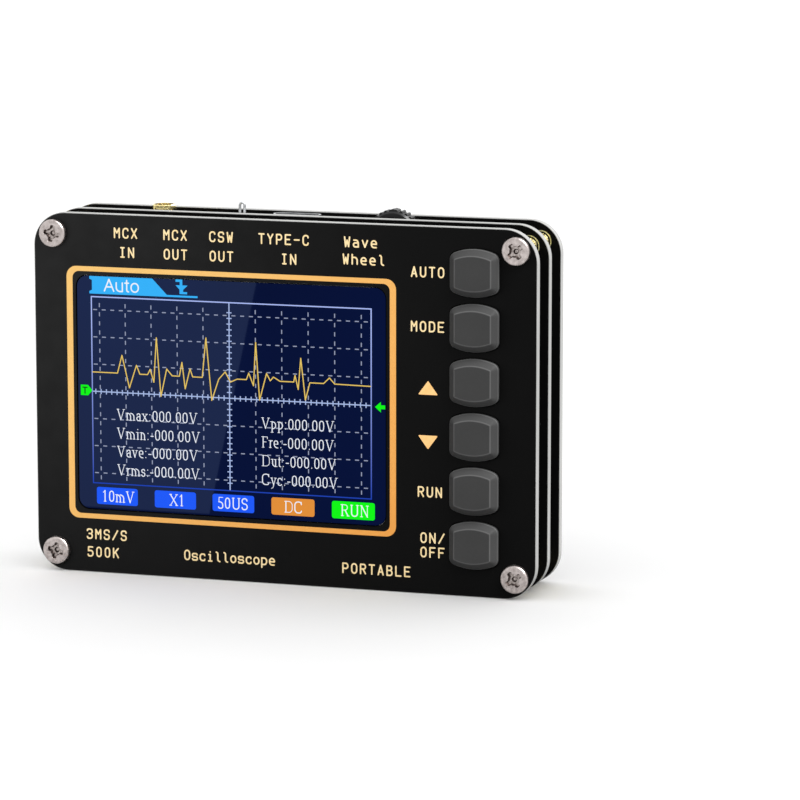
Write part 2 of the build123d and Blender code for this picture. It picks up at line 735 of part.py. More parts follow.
plug_back_x = header_x - HEADER_L / 2 - PLUG_OUT
with BuildPart() as battery_plug:
    with BuildSketch(Plane.YZ.offset(plug_back_x)):
        with Locations((header_mid_y, HEADER_Z)):
            Rectangle(
                HEADER_T - 2 * HEADER_WALL - 2 * PLUG_GAP,
                HEADER_W - 2 * HEADER_WALL - 2 * PLUG_GAP,
            )
    extrude(amount=PLUG_L)
save(battery_plug.part, "battery_plug")

lead_start_x = cell_end_x + CELL_SEAL_L
for lead_name, side, start_z, first_run, last_run in (
    ("red", 1, 38.0, 4.0, 1.8),
    ("black", -1, 34.0, 2.2, 3.6),
):
    end_z = HEADER_Z + side * LEAD_PITCH / 2
    with BuildPart() as lead:
        with BuildLine() as route:
            FilletPolyline(
                (lead_start_x, cell_mid_y, start_z),
                (lead_start_x + first_run, cell_mid_y, start_z),
                (plug_back_x - last_run, header_mid_y, end_z),
                (plug_back_x, header_mid_y, end_z),
                radius=LEAD_BEND_R,
            )
        with BuildSketch(Plane.YZ.offset(lead_start_x)):
            with Locations((cell_mid_y, start_z)):
                Circle(LEAD_R)
        sweep(path=route.line)
    save(lead.part, f"battery_lead_{lead_name}")

# ---------------------------------------------------------------- parts on the back of the main board
with BuildPart() as logic_chips:
    for x, z, w, h, t in CHIP_BODIES:
        with BuildSketch(rearward(MAIN_BACK_Y)):
            with Locations((-across(x), z)):
                Rectangle(w, h)
        extrude(amount=t)
save(logic_chips.part, "logic_chips")

inductor_x = across(INDUCTOR_X)
with BuildPart() as power_inductor:
    with BuildSketch(rearward(MAIN_BACK_Y)):
        with Locations((-inductor_x, INDUCTOR_Z)):
            Circle(INDUCTOR_WAIST_R)
    extrude(amount=INDUCTOR_T)
    for end_y in (MAIN_BACK_Y, MAIN_BACK_Y + INDUCTOR_T * 0.75):
        with BuildSketch(rearward(end_y)):
            with Locations((-inductor_x, INDUCTOR_Z)):
                Circle(INDUCTOR_R)
        extrude(amount=INDUCTOR_T / 4)
save(power_inductor.part, "power_inductor")

with BuildPart() as crystal_can:
    with BuildSketch(rearward(MAIN_BACK_Y)):
        with Locations((-across(CRYSTAL_X), CRYSTAL_Z)):
            RectangleRounded(CRYSTAL_W, CRYSTAL_H, 0.6)
    extrude(amount=CRYSTAL_T)
save(crystal_can.part, "crystal_can")

with BuildPart() as chip_passives:
    for x, z, count in PASSIVE_ROWS:
        with BuildSketch(rearward(MAIN_BACK_Y)):
            with Locations((-across(x), z)):
                with GridLocations(0, PASSIVE_PITCH, 1, count):
                    Rectangle(PASSIVE_L, PASSIVE_W)
        extrude(amount=PASSIVE_T)
save(chip_passives.part, "chip_passives")
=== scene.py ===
from math import atan2, ceil, cos, pi, radians, sin, tan

import bmesh
import bpy
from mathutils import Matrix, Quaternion, Vector
from mathutils.geometry import delaunay_2d_cdt


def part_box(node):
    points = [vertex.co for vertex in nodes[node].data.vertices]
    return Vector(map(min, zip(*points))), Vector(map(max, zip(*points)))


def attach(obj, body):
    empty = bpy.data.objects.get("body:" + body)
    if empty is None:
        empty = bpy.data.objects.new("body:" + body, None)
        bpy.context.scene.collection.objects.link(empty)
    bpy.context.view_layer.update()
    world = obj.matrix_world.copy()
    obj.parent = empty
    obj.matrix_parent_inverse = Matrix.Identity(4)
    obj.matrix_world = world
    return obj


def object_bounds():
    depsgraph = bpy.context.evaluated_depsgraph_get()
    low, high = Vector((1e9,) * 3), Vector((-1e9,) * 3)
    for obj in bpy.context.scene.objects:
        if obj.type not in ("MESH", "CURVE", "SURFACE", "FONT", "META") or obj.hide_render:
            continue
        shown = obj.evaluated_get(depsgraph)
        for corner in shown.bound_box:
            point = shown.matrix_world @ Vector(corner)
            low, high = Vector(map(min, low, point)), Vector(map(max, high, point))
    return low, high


# Looks of a handheld oscilloscope: finishes for its CAD nodes, its printed labels, its lit display,
# and the small soldered details between its boards.

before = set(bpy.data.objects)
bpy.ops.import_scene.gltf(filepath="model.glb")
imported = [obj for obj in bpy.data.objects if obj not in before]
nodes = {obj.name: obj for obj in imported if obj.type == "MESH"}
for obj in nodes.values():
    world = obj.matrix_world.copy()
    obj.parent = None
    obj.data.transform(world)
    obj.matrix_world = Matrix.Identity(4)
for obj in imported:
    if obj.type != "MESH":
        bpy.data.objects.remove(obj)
cad_low, cad_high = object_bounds()

MM = 0.001

# ---------------------------------------------------------------- places taken from the frame
panel_low, panel_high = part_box("front_panel")
glass_low, glass_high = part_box("lcd_glass")
main_low, main_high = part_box("main_board")
rear_low, rear_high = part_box("rear_panel")

PRINT_PROUD = 0.03 * MM
PRINT_SUNK = 0.02 * MM


def flat_point(x, y):
    """Frame X and Z, in mm, of a point given in mm from the panel's left and top edges."""
    return panel_low.x / MM + x, panel_high.z / MM - y


def corner_points(node_name):
    """The centres of a node's four corner pieces, in mm from the panel's left and top edges."""
    low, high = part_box(node_name)
    middle_x, middle_z = (low.x + high.x) / 2, (low.z + high.z) / 2
    corners = [v.co for v in nodes[node_name].data.vertices]
    points = []
    for side_x in (-1, 1):
        for side_z in (-1, 1):
            own = [c for c in corners if (c.x - middle_x) * side_x > 0 and (c.z - middle_z) * side_z > 0]
            x = (min(c.x for c in own) + max(c.x for c in own)) / 2
            z = (min(c.z for c in own) + max(c.z for c in own)) / 2
            points.append(((x - panel_low.x) / MM, (panel_high.z - z) / MM))
    return points


# ---------------------------------------------------------------- flat outlines, in mm
ARC_STEP = radians(15)
SHARP_TURN = radians(35)
CAP_STEPS = 5


def turned(vector, angle):
    """The flat vector turned anticlockwise by the angle."""
    c, s = cos(angle), sin(angle)
    return Vector((c * vector.x - s * vector.y, s * vector.x + c * vector.y))


def arc_at(corner, come, go, radius, room):
    """Points of the arc that rounds a corner between two directions."""
    turn = come.angle(go)
    reach = min(radius * tan(turn / 2), room)
    r = reach / tan(turn / 2)
    inward = (go - come).normalized()
    centre = corner + inward * (r / cos(turn / 2))
    start = corner - come * reach - centre
    side = 1 if come.x * go.y - come.y * go.x > 0 else -1
    steps = max(2, ceil(turn / ARC_STEP))
    return [centre + turned(start, side * turn * i / steps) for i in range(steps + 1)]


def rounded(points, radius):
    """A polyline with its corners rounded; a closed one starts halfway along its first side."""
    corners = [Vector(p) for p in points]
    if corners[0] == corners[-1]:
        middle = (corners[0] + corners[1]) / 2
        corners = [middle, *corners[1:], middle]
    path = [corners[0]]
    last = len(corners) - 2
    for i in range(1, last + 1):
        come, go = corners[i] - corners[i - 1], corners[i + 1] - corners[i]
        if come.angle(go) < 0.01:
            continue
        room_in = come.length if i == 1 else come.length / 2
        room_out = go.length if i == last else go.length / 2
        room = min(room_in, room_out) * 0.98
        path += arc_at(corners[i], come.normalized(), go.normalized(), radius, room)
    path.append(corners[-1])
    return path


def smooth_runs(path):
    """The path cut at its sharp corners, and a closed smooth run cut in two."""
    runs, run = [], [path[0]]
    for i in range(1, len(path)):
        if (path[i] - path[i - 1]).length < 1e-5:
            continue
        if len(run) > 1 and (run[-1] - run[-2]).angle(path[i] - path[i - 1]) > SHARP_TURN:
            runs.append(run)
            run = [run[-1]]
        run.append(path[i])
    runs.append(run)
    cut = []
    for run in runs:
        if len(run) > 3 and (run[0] - run[-1]).length < 1e-4:
            half = len(run) // 2
            cut += [run[: half + 1], run[half:]]
        else:
            cut.append(run)
    return cut


def pen(points, width):
    """Outlines of a round pen drawn along a polyline."""
    half = width / 2
    outlines = []
    for run in smooth_runs([Vector(p) for p in points]):
        sides = [(b - a).normalized() for a, b in zip(run, run[1:])]
        left, right = [], []
        for i, point in enumerate(run):
            come, go = sides[max(i - 1, 0)], sides[min(i, len(sides) - 1)]
            middle = (come + go).normalized()
            out = Vector((-middle.y, middle.x)) * (half / middle.dot(come))
            left.append(point + out)
            right.append(point - out)
        angles = [pi * i / CAP_STEPS for i in range(1, CAP_STEPS)]
        end_cap = [run[-1] + turned(right[-1] - run[-1], a) for a in angles]
        start_cap = [run[0] + turned(left[0] - run[0], a) for a in angles]
        outlines.append(right + end_cap + left[::-1] + start_cap)
    return outlines


def bar(x0, y0, x1, y1):
    """Outline of an upright rectangle."""
    return [(x0, y0), (x1, y0), (x1, y1), (x0, y1)]


def rounded_bar(x0, y0, x1, y1, radius):
    """Outline of an upright rectangle with round corners."""
    return rounded([*bar(x0, y0, x1, y1), (x0, y0)], radius)[:-1]


def circle(x, y, radius, steps=48):
    """Outline of a circle."""
    angles = [2 * pi * i / steps for i in range(steps)]
    return [(x + radius * cos(a), y + radius * sin(a)) for a in angles]


# ---------------------------------------------------------------- solids from flat outlines
def signed_area(polygon):
    """Area of a flat outline, positive when it runs anticlockwise."""
    following = polygon[1:] + polygon[:1]
    return sum(a[0] * b[1] - b[0] * a[1] for a, b in zip(polygon, following)) / 2


def filled(polygons, holes=()):
    """Triangles that cover the polygons together, less the holes: corner list and triangle list."""
    corners, faces = [], []
    for polygon in [*polygons, *holes]:
        placed = [flat_point(p[0], p[1]) for p in polygon]
        if signed_area(placed) < 0:
            placed.reverse()
        faces.append(list(range(len(corners), len(corners) + len(placed))))
        corners += [Vector(p) for p in placed]
    flat, _, triangles, _, _, sources = delaunay_2d_cdt(corners, [], faces, 1, 1e-5)
    first_hole = len(polygons)
    kept = [t for t, s in zip(triangles, sources) if s and max(s) < first_hole]
    return flat, kept


def solid(name, polygons, front_y, back_y, holes=()):
    """Closed slab between two depths with the outline of the polygons together."""
    flat, triangles = filled(polygons, holes)
    used = sorted({i for t in triangles for i in t})
    place = {old: new for new, old in enumerate(used)}
    n = len(used)
    edges = {(t[i], t[(i + 1) % len(t)]) for t in triangles for i in range(len(t))}
    rim = [(a, b) for a, b in edges if (b, a) not in edges]
    points = [(flat[i].x * MM, y, flat[i].y * MM) for y in (front_y, back_y) for i in used]
    front = [[place[i] for i in t] for t in triangles]
    back = [[i + n for i in reversed(t)] for t in front]
    wall = [(place[b], place[a], place[a] + n, place[b] + n) for a, b in sorted(rim)]
    mesh = bpy.data.meshes.new(name)
    mesh.from_pydata(points, [], front + back + wall)
    mesh.update()
    piece = bpy.data.objects.new(name, mesh)
    bpy.context.scene.collection.objects.link(piece)
    return piece


def dress(piece, material, body="root"):
    """Give a new piece its finish and the body that carries it."""
    piece.data.materials.append(material)
    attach(piece, body)
    return piece


# ---------------------------------------------------------------- lettering
# A glyph is its width and its strokes, on a grid where capitals are 6 high. Strokes are parted by "|".
# A stroke that starts with ~ has round corners, with ' is thin, and with ^ is a serif at each point.
CAP_UNITS = 6
SERIF_HALF = 0.6
LABEL_FONT = {
    "A": (4, "0,0 2,6 4,0|0.6,1.8 3.4,1.8"),
    "B": (4, "0,0 0,6|~0,6 3.7,6 3.7,3.2 0,3.2|~0,3.2 4,3.2 4,0 0,0"),
    "C": (4, "~4,4.7 4,6 0,6 0,0 4,0 4,1.3"),
    "D": (4, "0,0 0,6|~0,6 4,6 4,0 0,0"),
    "E": (4, "4,6 0,6 0,0 4,0|0,3.1 3.2,3.1"),
    "F": (4, "4,6 0,6 0,0|0,3.1 3.2,3.1"),
    "I": (4, "0.7,0 3.3,0|2,0 2,6|0.7,6 3.3,6"),
    "K": (4, "0,0 0,6|4,6 0,2.3|1.5,3.7 4,0"),
    "L": (4, "0,6 0,0 4,0"),
    "M": (4, "0,0 0,6 2,3 4,6 4,0"),
    "N": (4, "0,0 0,6 4,0 4,6"),
    "O": (4, "~0,0 4,0 4,6 0,6 0,0"),
    "P": (4, "0,0 0,6|~0,6 4,6 4,2.7 0,2.7"),
    "R": (4, "0,0 0,6|~0,6 4,6 4,3 0,3|2,3 4,0"),
    "S": (4, "~4,4.8 4,6 0,6 0,3 4,3 4,0 0,0 0,1.2"),
    "T": (4, "0,6 4,6|2,6 2,0"),
    "U": (4, "~0,6 0,0 4,0 4,6"),
    "W": (4, "0,6 0.8,0 2,4 3.2,0 4,6"),
    "X": (4, "0,0 4,6|0,6 4,0"),
    "Y": (4, "0,6 2,3 4,6|2,3 2,0"),
    "a": (4, "~0.3,4.2 3.8,4.2 3.8,0|~3.8,2.5 0,2.5 0,0 3.8,0"),
    "c": (4, "~3.8,3.3 3.8,4.2 0,4.2 0,0 3.8,0 3.8,0.9"),
    "e": (4, "0,2.1 4,2.1|~4,2.1 4,4.2 0,4.2 0,0 3.8,0"),
    "h": (4, "0,6 0,0|~0,4.2 4,4.2 4,0"),
    "i": (4, "0.9,4.2 2,4.2 2,0|0.6,0 3.4,0|2,5.9 2,6"),
    "l": (4, "~0.7,6 1.9,6 1.9,0 3.6,0"),
    "o": (4, "~0,0 4,0 4,4.2 0,4.2 0,0"),
    "p": (4, "0,4.2 0,-1.9|~0,4.2 4,4.2 4,0 0,0"),
    "s": (4, "~3.8,3.4 3.8,4.2 0,4.2 0,2.1 4,2.1 4,0 0,0 0,0.8"),
    "v": (4, "0,4.2 2,0 4,4.2"),
    "0": (4, "~0.2,0 3.8,0 3.8,6 0.2,6 0.2,0"),
    "3": (4, "~0,5 0,6 4,6 4,3.1 1.4,3.1|~1.4,3.1 4,3.1 4,0 0,0 0,1"),
    "5": (4, "3.8,6 0.4,6 0.3,3.4|~0.3,3.5 4,3.7 4,0 0,0 0,1"),
    "-": (4, "0.1,3 3.9,3"),
    "/": (4, "0,0 4,6"),
}
MODE_FONT = {
    "A": (5.2, "0,0 2.6,6 5.2,0|0.9,2.1 4.3,2.1"),
    "u": (3.4, "~0,4.4 0,0 3.2,0|3.4,4.4 3.4,0"),
    "t": (2, "~1,5.8 1,0 2,0|0,4.4 2,4.4"),
    "o": (4, "~0,0 4,0 4,4.4 0,4.4 0,0"),
}
READOUT_FONT = {
    "C": (4.35, "~4,4.7 4,6 0.3,6 0.3,0 4,0 4,1.1|'4,4.5 4,6"),
    "D": (4.75, "0.8,0 0.8,6|~'0.8,6 4.4,6 4.4,0 0.8,0|^0.7,0 0.7,6"),
    "F": (3.5, "0.8,0 0.8,6|'0.8,6 3.3,6 3.3,4.9|'0.8,3.1 2.6,3.1|^0.8,0 0.6,6"),
    "N": (4.75, "'0.8,0 0.8,6|0.8,6 4.1,0|'4.1,0 4.1,6|^0.8,0 0.6,6 4.1,6"),
    "R": (4.4, "0.8,0 0.8,6|~'0.8,6 3.7,6 3.7,3.1 0.8,3.1|2.4,3.1 4,0|^0.8,0 0.6,6 4.1,0"),
    "S": (3.5, "~3.1,4.8 3.1,6 0.3,6 0.3,3.1 3.2,3.1 3.2,0 0.3,0 0.3,1.1"),
    "U": (4.75, "~0.8,6 0.8,0 4.1,0 4.1,6|^0.8,6 4.1,6"),
    "V": (4.6, "0.5,6 2.3,0|'2.3,0 4.1,6|^0.6,6 4.1,6"),
    "X": (4.6, "0.5,6 4.2,0|'0.5,0 4.2,6|^0.6,6 4.1,6 0.6,0 4.1,0"),
    "a": (2.55, "~0.4,3.2 0.4,4 2.1,4 2.1,0|~2.1,2.3 0.2,2.3 0.2,0 2.1,0|^2.3,0"),
    "c": (2.55, "~2.2,3.2 2.2,4 0.2,4 0.2,0 2.2,0 2.2,0.6"),
    "e": (2.55, "'0.2,2.1 2.3,2.1|~2.3,2.1 2.3,4 0.2,4 0.2,0 2.3,0"),
    "i": (1.3, "0.7,0 0.7,4|0.7,5.6 0.7,5.7|^0.7,0 0.4,4"),
    "m": (5.2, "0.6,0 0.6,4|~0.6,4 2.6,4 2.6,0|~2.6,4 4.6,4 4.6,0|^0.6,0 2.6,0 4.6,0 0.4,4"),
    "n": (3.05, "0.6,0 0.6,4|~0.6,4 2.5,4 2.5,0|^0.6,0 2.5,0 0.3,4"),
    "p": (3.05, "0.6,-2 0.6,4|~0.6,4 2.7,4 2.7,0 0.6,0|^0.6,-2 0.3,4"),
    "r": (1.75, "0.6,0 0.6,4|~0.6,2.8 0.6,4 1.8,4|^0.6,0 0.3,4"),
    "s": (2.2, "~1.9,3.2 1.9,4 0.2,4 0.2,2.1 2,2.1 2,0 0.2,0 0.2,0.8"),
    "t": (1.35, "~0.6,5.2 0.6,0 1.4,0|'0,4 1.4,4"),
    "u": (3.05, "~0.6,4 0.6,0 2.4,0|2.4,4 2.4,0|^0.3,4 2.1,4 2.7,0"),
    "v": (3.05, "0.4,4 1.5,0|'1.5,0 2.6,4|^0.4,4 2.6,4"),
    "x": (3.05, "0.4,4 2.7,0|'0.4,0 2.7,4|^0.4,4 2.6,4 0.4,0 2.6,0"),
    "y": (3.05, "0.4,4 1.6,0|~'2.7,4 1.1,-1.9 0.3,-1.9|^0.4,4 2.6,4"),
    "0": (3.05, "~1.45,0 2.5,0.75 2.7,3 2.5,5.25 1.45,6 0.4,5.25 0.2,3 0.4,0.75 1.45,0"),
    "1": (3.05, "'0.5,4.9 1.5,6|1.5,6 1.5,0|^1.5,0"),
    "5": (3.05, "'2.6,6 0.5,6 0.4,3.4|~0.4,3.5 2.6,3.5 2.6,0 0.2,0 0.2,0.7"),
    ":": (1.3, "0.6,0.2 0.6,0.3|0.6,3.7 0.6,3.8"),
    ".": (1.1, "0.5,0.2 0.5,0.3"),
    "-": (1.75, "0.1,2.2 1.5,2.2"),
}
ROUND_CORNER = 2.0
THIN_SHARE = 0.62

# Each style is the height of its capitals, the gap between pen lines, the pen's width and the letters'
# stretch along the line.
LABEL_STYLE = (1.96, 0.74, 0.27, 0.82)
KIND_STYLE = (1.96, 0.56, 0.27, 0.82)
MODE_STYLE = (2.38, 0.50, 0.25, 0.98)
READOUT_STYLE = (2.06, 0.3, 0.152, 1.02)
TAB_STYLE = (2.2, 0.29, 0.2, 1.0)


def glyph_outlines(strokes, x, baseline, unit_x, unit_y, width):
    """Outlines of one glyph's strokes, its grid's origin at x on the baseline."""
    outlines = []
    for stroke in strokes.split("|"):
        marks = stroke[: len(stroke) - len(stroke.lstrip("~'^"))]
        points = [tuple(float(v) for v in p.split(",")) for p in stroke[len(marks) :].split()]
        if "^" in marks:
            paths = [[(px - SERIF_HALF, py), (px + SERIF_HALF, py)] for px, py in points]
        elif "~" in marks:
            paths = [rounded(points, ROUND_CORNER)]
        else:
            paths = [points]
        thin = "'" in marks or "^" in marks
        for path in paths:
            placed = [(x + p[0] * unit_x, baseline - p[1] * unit_y) for p in path]
            outlines += pen(placed, width * THIN_SHARE if thin else width)
    return outlines


def line_of_text(text, font, x, top, style):
    """Outlines of a line of text that starts at x, with the tops of its capitals at top."""
    cap, gap, width, stretch = style
    unit_y = (cap - width) / CAP_UNITS
    unit_x = unit_y * stretch
    at = x + width / 2
    outlines = []
    for letter in text:
        advance, strokes = font[letter]
        outlines += glyph_outlines(strokes, at, top + cap - width / 2, unit_x, unit_y, width)
        at += advance * unit_x + gap
    return outlines


# ---------------------------------------------------------------- finishes
# The line round the graph on the display, in mm from the panel's left and top edges.
FRAME_L, FRAME_T, FRAME_R, FRAME_B = 10.85, 15.05, 64.45, 49.5
FRAME_LINE = 0.21


def srgb(r, g, b):
    """Linear colour of an 8-bit screen colour."""
    def linear(c):
        c /= 255
        return c / 12.92 if c <= 0.04045 else ((c + 0.055) / 1.055) ** 2.4
    return linear(r), linear(g), linear(b), 1.0


def finish(name, **values):
    """New material whose uniform values sit on the shader's own sockets."""
    material = bpy.data.materials.new(name)
    material.use_nodes = True
    shader = material.node_tree.nodes["Principled BSDF"]
    for key, value in values.items():
        shader.inputs[SOCKETS[key]].default_value = value
    return material


SOCKETS = {
    "color": "Base Color",
    "rough": "Roughness",
    "metal": "Metallic",
    "specular": "Specular IOR Level",
    "tint": "Specular Tint",
    "glow": "Emission Color",
    "glow_strength": "Emission Strength",
    "anisotropy": "Anisotropic",
}


def node(material, kind, inputs=None, **settings):
    """Add a shader node; an input is a value or another node's output."""
    made = material.node_tree.nodes.new("ShaderNode" + kind)
    for key, value in settings.items():
        setattr(made, key, value)
    for key, value in (inputs or {}).items():
        if isinstance(value, bpy.types.NodeSocket):
            material.node_tree.links.new(value, made.inputs[key])
        else:
            made.inputs[key].default_value = value
    return made


def to_shader(material, key, output):
    """Feed a node's output to a socket of the shader."""
    shader = material.node_tree.nodes["Principled BSDF"]
    material.node_tree.links.new(output, shader.inputs[SOCKETS.get(key, key)])


def place_of(material):
    """Each point's place in the frame, in metres."""
    return node(material, "TexCoord").outputs["Object"]


def grain(material, scale, detail=3.0, stretch=(1, 1, 1)):
    """Noise value whose blotches are about 1 / scale metres."""
    mapped = node(material, "Mapping", {"Vector": place_of(material), "Scale": stretch})
    return node(
        material, "TexNoise", {"Vector": mapped.outputs["Vector"], "Scale": scale, "Detail": detail}
    ).outputs["Fac"]


def between(material, factor, low, high, start=0.35, end=0.65):
    """A number that runs from low to high as the factor runs from start to end."""
    ranged = node(
        material,
        "MapRange",
        {"Value": factor, "From Min": start, "From Max": end, "To Min": low, "To Max": high},
    )
    return ranged.outputs["Result"]


def colors(material, factor, dark, light, start=0.3, end=0.7):
    """Colour that runs from dark to light as the factor runs from start to end."""
    ramp = node(material, "ValToRGB", {"Fac": factor})
    ramp.color_ramp.elements[0].position = start
    ramp.color_ramp.elements[0].color = dark
    ramp.color_ramp.elements[1].position = end
    ramp.color_ramp.elements[1].color = light
    return ramp.outputs["Color"]


def math(material, operation, a, b=0.0):
    """A sum, product, comparison or other operation on one or two numbers."""
    return node(material, "Math", {0: a, 1: b}, operation=operation).outputs["Value"]


def relief(material, height, depth):
    """Bump of the given depth in metres."""
    bump = node(material, "Bump", {"Height": height, "Distance": depth, "Strength": 1.0})
    to_shader(material, "Normal", bump.outputs["Normal"])


CORNER_R = 6.0 * MM
MASK_SET_BACK = 0.1 * MM
MASK_DARK, MASK_LIGHT = (0.0006, 0.0006, 0.0006, 1), (0.0009, 0.0009, 0.0009, 1)
RIM_DARK, RIM_LIGHT = (0.215, 0.215, 0.21, 1), (0.295, 0.295, 0.29, 1)
RIM_ROUGH = 0.85


def board_finish():
    """Black solder mask, set back a little from the sawn glass laminate round the outline."""
    mat = finish("black_board", specular=0.042)
    place = node(mat, "SeparateXYZ", {"Vector": place_of(mat)})
    middle_z = (panel_low.z + panel_high.z) / 2
    beyond = []
    for value, half in (
        (place.outputs["X"], panel_high.x),
        (math(mat, "SUBTRACT", place.outputs["Z"], middle_z), panel_high.z - middle_z),
    ):
        past = math(mat, "SUBTRACT", math(mat, "ABSOLUTE", value), half - CORNER_R)
        beyond.append(math(mat, "POWER", math(mat, "MAXIMUM", past, 0.0), 2.0))
    reach = math(mat, "SQRT", math(mat, "ADD", beyond[0], beyond[1]))
    rim = math(mat, "GREATER_THAN", reach, CORNER_R - MASK_SET_BACK)
    mask_color = colors(mat, grain(mat, 90), MASK_DARK, MASK_LIGHT)
    layers = grain(mat, 60, 4.0, (1, 60, 1))
    rim_color = colors(mat, layers, RIM_DARK, RIM_LIGHT)
    mixed = node(mat, "Mix", {"Factor": rim, 6: mask_color, 7: rim_color}, data_type="RGBA")
    to_shader(mat, "color", mixed.outputs[2])
    mask_rough = between(mat, grain(mat, 260), 0.54, 0.62)
    to_shader(mat, "rough", math(mat, "MAXIMUM", mask_rough, math(mat, "MULTIPLY", rim, RIM_ROUGH)))
    relief(mat, grain(mat, 2600, 2.0), 0.004 * MM)
    return mat


def gold_finish(name, dark, light, rough=0.38):
    """Immersion gold: satin metal with a faint cloudiness."""
    mat = finish(name, metal=0.85, specular=0.4)
    to_shader(mat, "color", colors(mat, grain(mat, 700), dark, light))
    to_shader(mat, "rough", between(mat, grain(mat, 1500), rough - 0.05, rough + 0.08))
    relief(mat, grain(mat, 6000, 2.0), 0.0015 * MM)
    return mat


BORDER_DARK, BORDER_LIGHT = srgb(222, 153, 74), srgb(226, 182, 109)


def border_finish():
    """Immersion gold of the broad border, with a painted sheen that makes it paler towards its upper left."""
    mat = gold_finish("gold_border", BORDER_DARK, BORDER_LIGHT)
    place = node(mat, "SeparateXYZ", {"Vector": place_of(mat)})
    # Painted sheen: the gold runs from dark at the lower right to pale at the upper left.
    along = math(mat, "SUBTRACT", place.outputs["Z"], place.outputs["X"])
    sheen_slope = node(mat, "MapRange", {"Value": along, "From Min": -0.01, "From Max": 0.08})
    cloud = math(mat, "MULTIPLY", grain(mat, 700), 0.25)
    factor = math(mat, "ADD", sheen_slope.outputs["Result"], math(mat, "SUBTRACT", cloud, 0.125))
    to_shader(mat, "color", colors(mat, factor, BORDER_DARK, BORDER_LIGHT, 0.0, 1.0))
    return mat


def metal_finish(name, dark, light, rough, scale=900, depth=0.004, anisotropy=0.0, stretch=(1, 1, 1)):
    """Bare or plated metal with tool marks or pitting."""
    mat = finish(name, metal=1.0, anisotropy=anisotropy)
    marks = grain(mat, scale, 5.0, stretch)
    to_shader(mat, "color", colors(mat, marks, dark, light))
    to_shader(mat, "rough", between(mat, marks, rough - 0.07, rough + 0.09))
    relief(mat, marks, depth * MM)
    return mat


KEY_DARK, KEY_LIGHT = (0.0235, 0.0235, 0.0235, 1), (0.0265, 0.0265, 0.0265, 1)
# How much paler the keys' sloping sides are painted than their flat tops: a painted highlight.
KEY_SLOPE_PAINTED_LIGHT = 1.2


def key_finish():
    """Charcoal silicone-like plastic, painted paler on its sloping sides as a painted highlight of the light
    falling on them.
    """
    mat = plastic_finish("key_charcoal", KEY_DARK, KEY_LIGHT, 0.6, 0.15)
    normal = node(mat, "SeparateXYZ", {"Vector": node(mat, "TexCoord").outputs["Normal"]})
    flat = between(mat, math(mat, "ABSOLUTE", normal.outputs["Y"]), 0.0, 1.0, 0.8, 0.97)
    texture = colors(mat, grain(mat, 150), KEY_DARK, KEY_LIGHT)
    slope_highlight = between(mat, flat, KEY_SLOPE_PAINTED_LIGHT, 1.0, 0.0, 1.0)
    scaled = node(mat, "VectorMath", {0: texture, "Scale": slope_highlight}, operation="SCALE")
    to_shader(mat, "color", scaled.outputs["Vector"])
    return mat


SCREW_DARK, SCREW_LIGHT = srgb(158, 149, 146), srgb(196, 187, 184)
# The recess is nearer to the screw's axis than this, and starts this far under the top of the head.
RECESS_REACH = 1.9 * MM
RECESS_LIP = 0.16 * MM
# A surface that faces the front less than this is a wall of the recess.
WALL_SLOPE = 0.8


def screw_finish():
    """Nickel plate, with painted shade in its cross recess, darkest on the recess walls."""
    mat = metal_finish("screw_nickel", SCREW_DARK, SCREW_LIGHT, 0.30, 1500, 0.010)
    place = node(mat, "SeparateXYZ", {"Vector": place_of(mat)})
    x, y = corner_points("front_screws")[-1]
    screw_x, screw_z = (v * MM for v in flat_point(x, y))
    middle_z = (panel_low.z + panel_high.z) / 2
    from_x = math(mat, "SUBTRACT", math(mat, "ABSOLUTE", place.outputs["X"]), abs(screw_x))
    height = math(mat, "ABSOLUTE", math(mat, "SUBTRACT", place.outputs["Z"], middle_z))
    from_z = math(mat, "SUBTRACT", height, abs(screw_z - middle_z))
    squared = math(mat, "ADD", math(mat, "POWER", from_x, 2.0), math(mat, "POWER", from_z, 2.0))
    near_axis = math(mat, "LESS_THAN", math(mat, "SQRT", squared), RECESS_REACH)
    depth = math(mat, "ABSOLUTE", place.outputs["Y"])
    sunk = math(mat, "LESS_THAN", depth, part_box("rear_screws")[1].y - RECESS_LIP)
    normal = node(mat, "SeparateXYZ", {"Vector": node(mat, "TexCoord").outputs["Normal"]})
    wall = math(mat, "LESS_THAN", math(mat, "ABSOLUTE", normal.outputs["Y"]), WALL_SLOPE)
    # Painted shade: the recess floor a little darker than the plate and its walls much darker, mottled by
    # noise.
    recess_shade_mottle = grain(mat, 3000, 4.0)
    plate = colors(mat, grain(mat, 1500, 5.0), SCREW_DARK, SCREW_LIGHT)
    recess_floor_shade = colors(mat, recess_shade_mottle, srgb(118, 109, 105), srgb(192, 183, 179))
    recess_wall_shade = colors(mat, recess_shade_mottle, srgb(52, 45, 43), srgb(128, 118, 114))
    recess = math(mat, "MULTIPLY", near_axis, sunk)
    inside = node(mat, "Mix", {"Factor": wall, 6: recess_floor_shade, 7: recess_wall_shade}, data_type="RGBA")
    whole = node(mat, "Mix", {"Factor": recess, 6: plate, 7: inside.outputs[2]}, data_type="RGBA")
    to_shader(mat, "color", whole.outputs[2])
    return mat


def plastic_finish(name, dark, light, rough, specular=0.4, scale=1800, depth=0.004):
    """Moulded plastic with a fine eroded texture."""
    mat = finish(name, specular=specular)
    texture = grain(mat, scale, 2.0)
    to_shader(mat, "color", colors(mat, grain(mat, 150), dark, light))
    to_shader(mat, "rough", between(mat, texture, rough - 0.05, rough + 0.07))
    relief(mat, texture, depth * MM)
    return mat


PIXEL = 0.18 * MM
PIXEL_LINE = 0.16


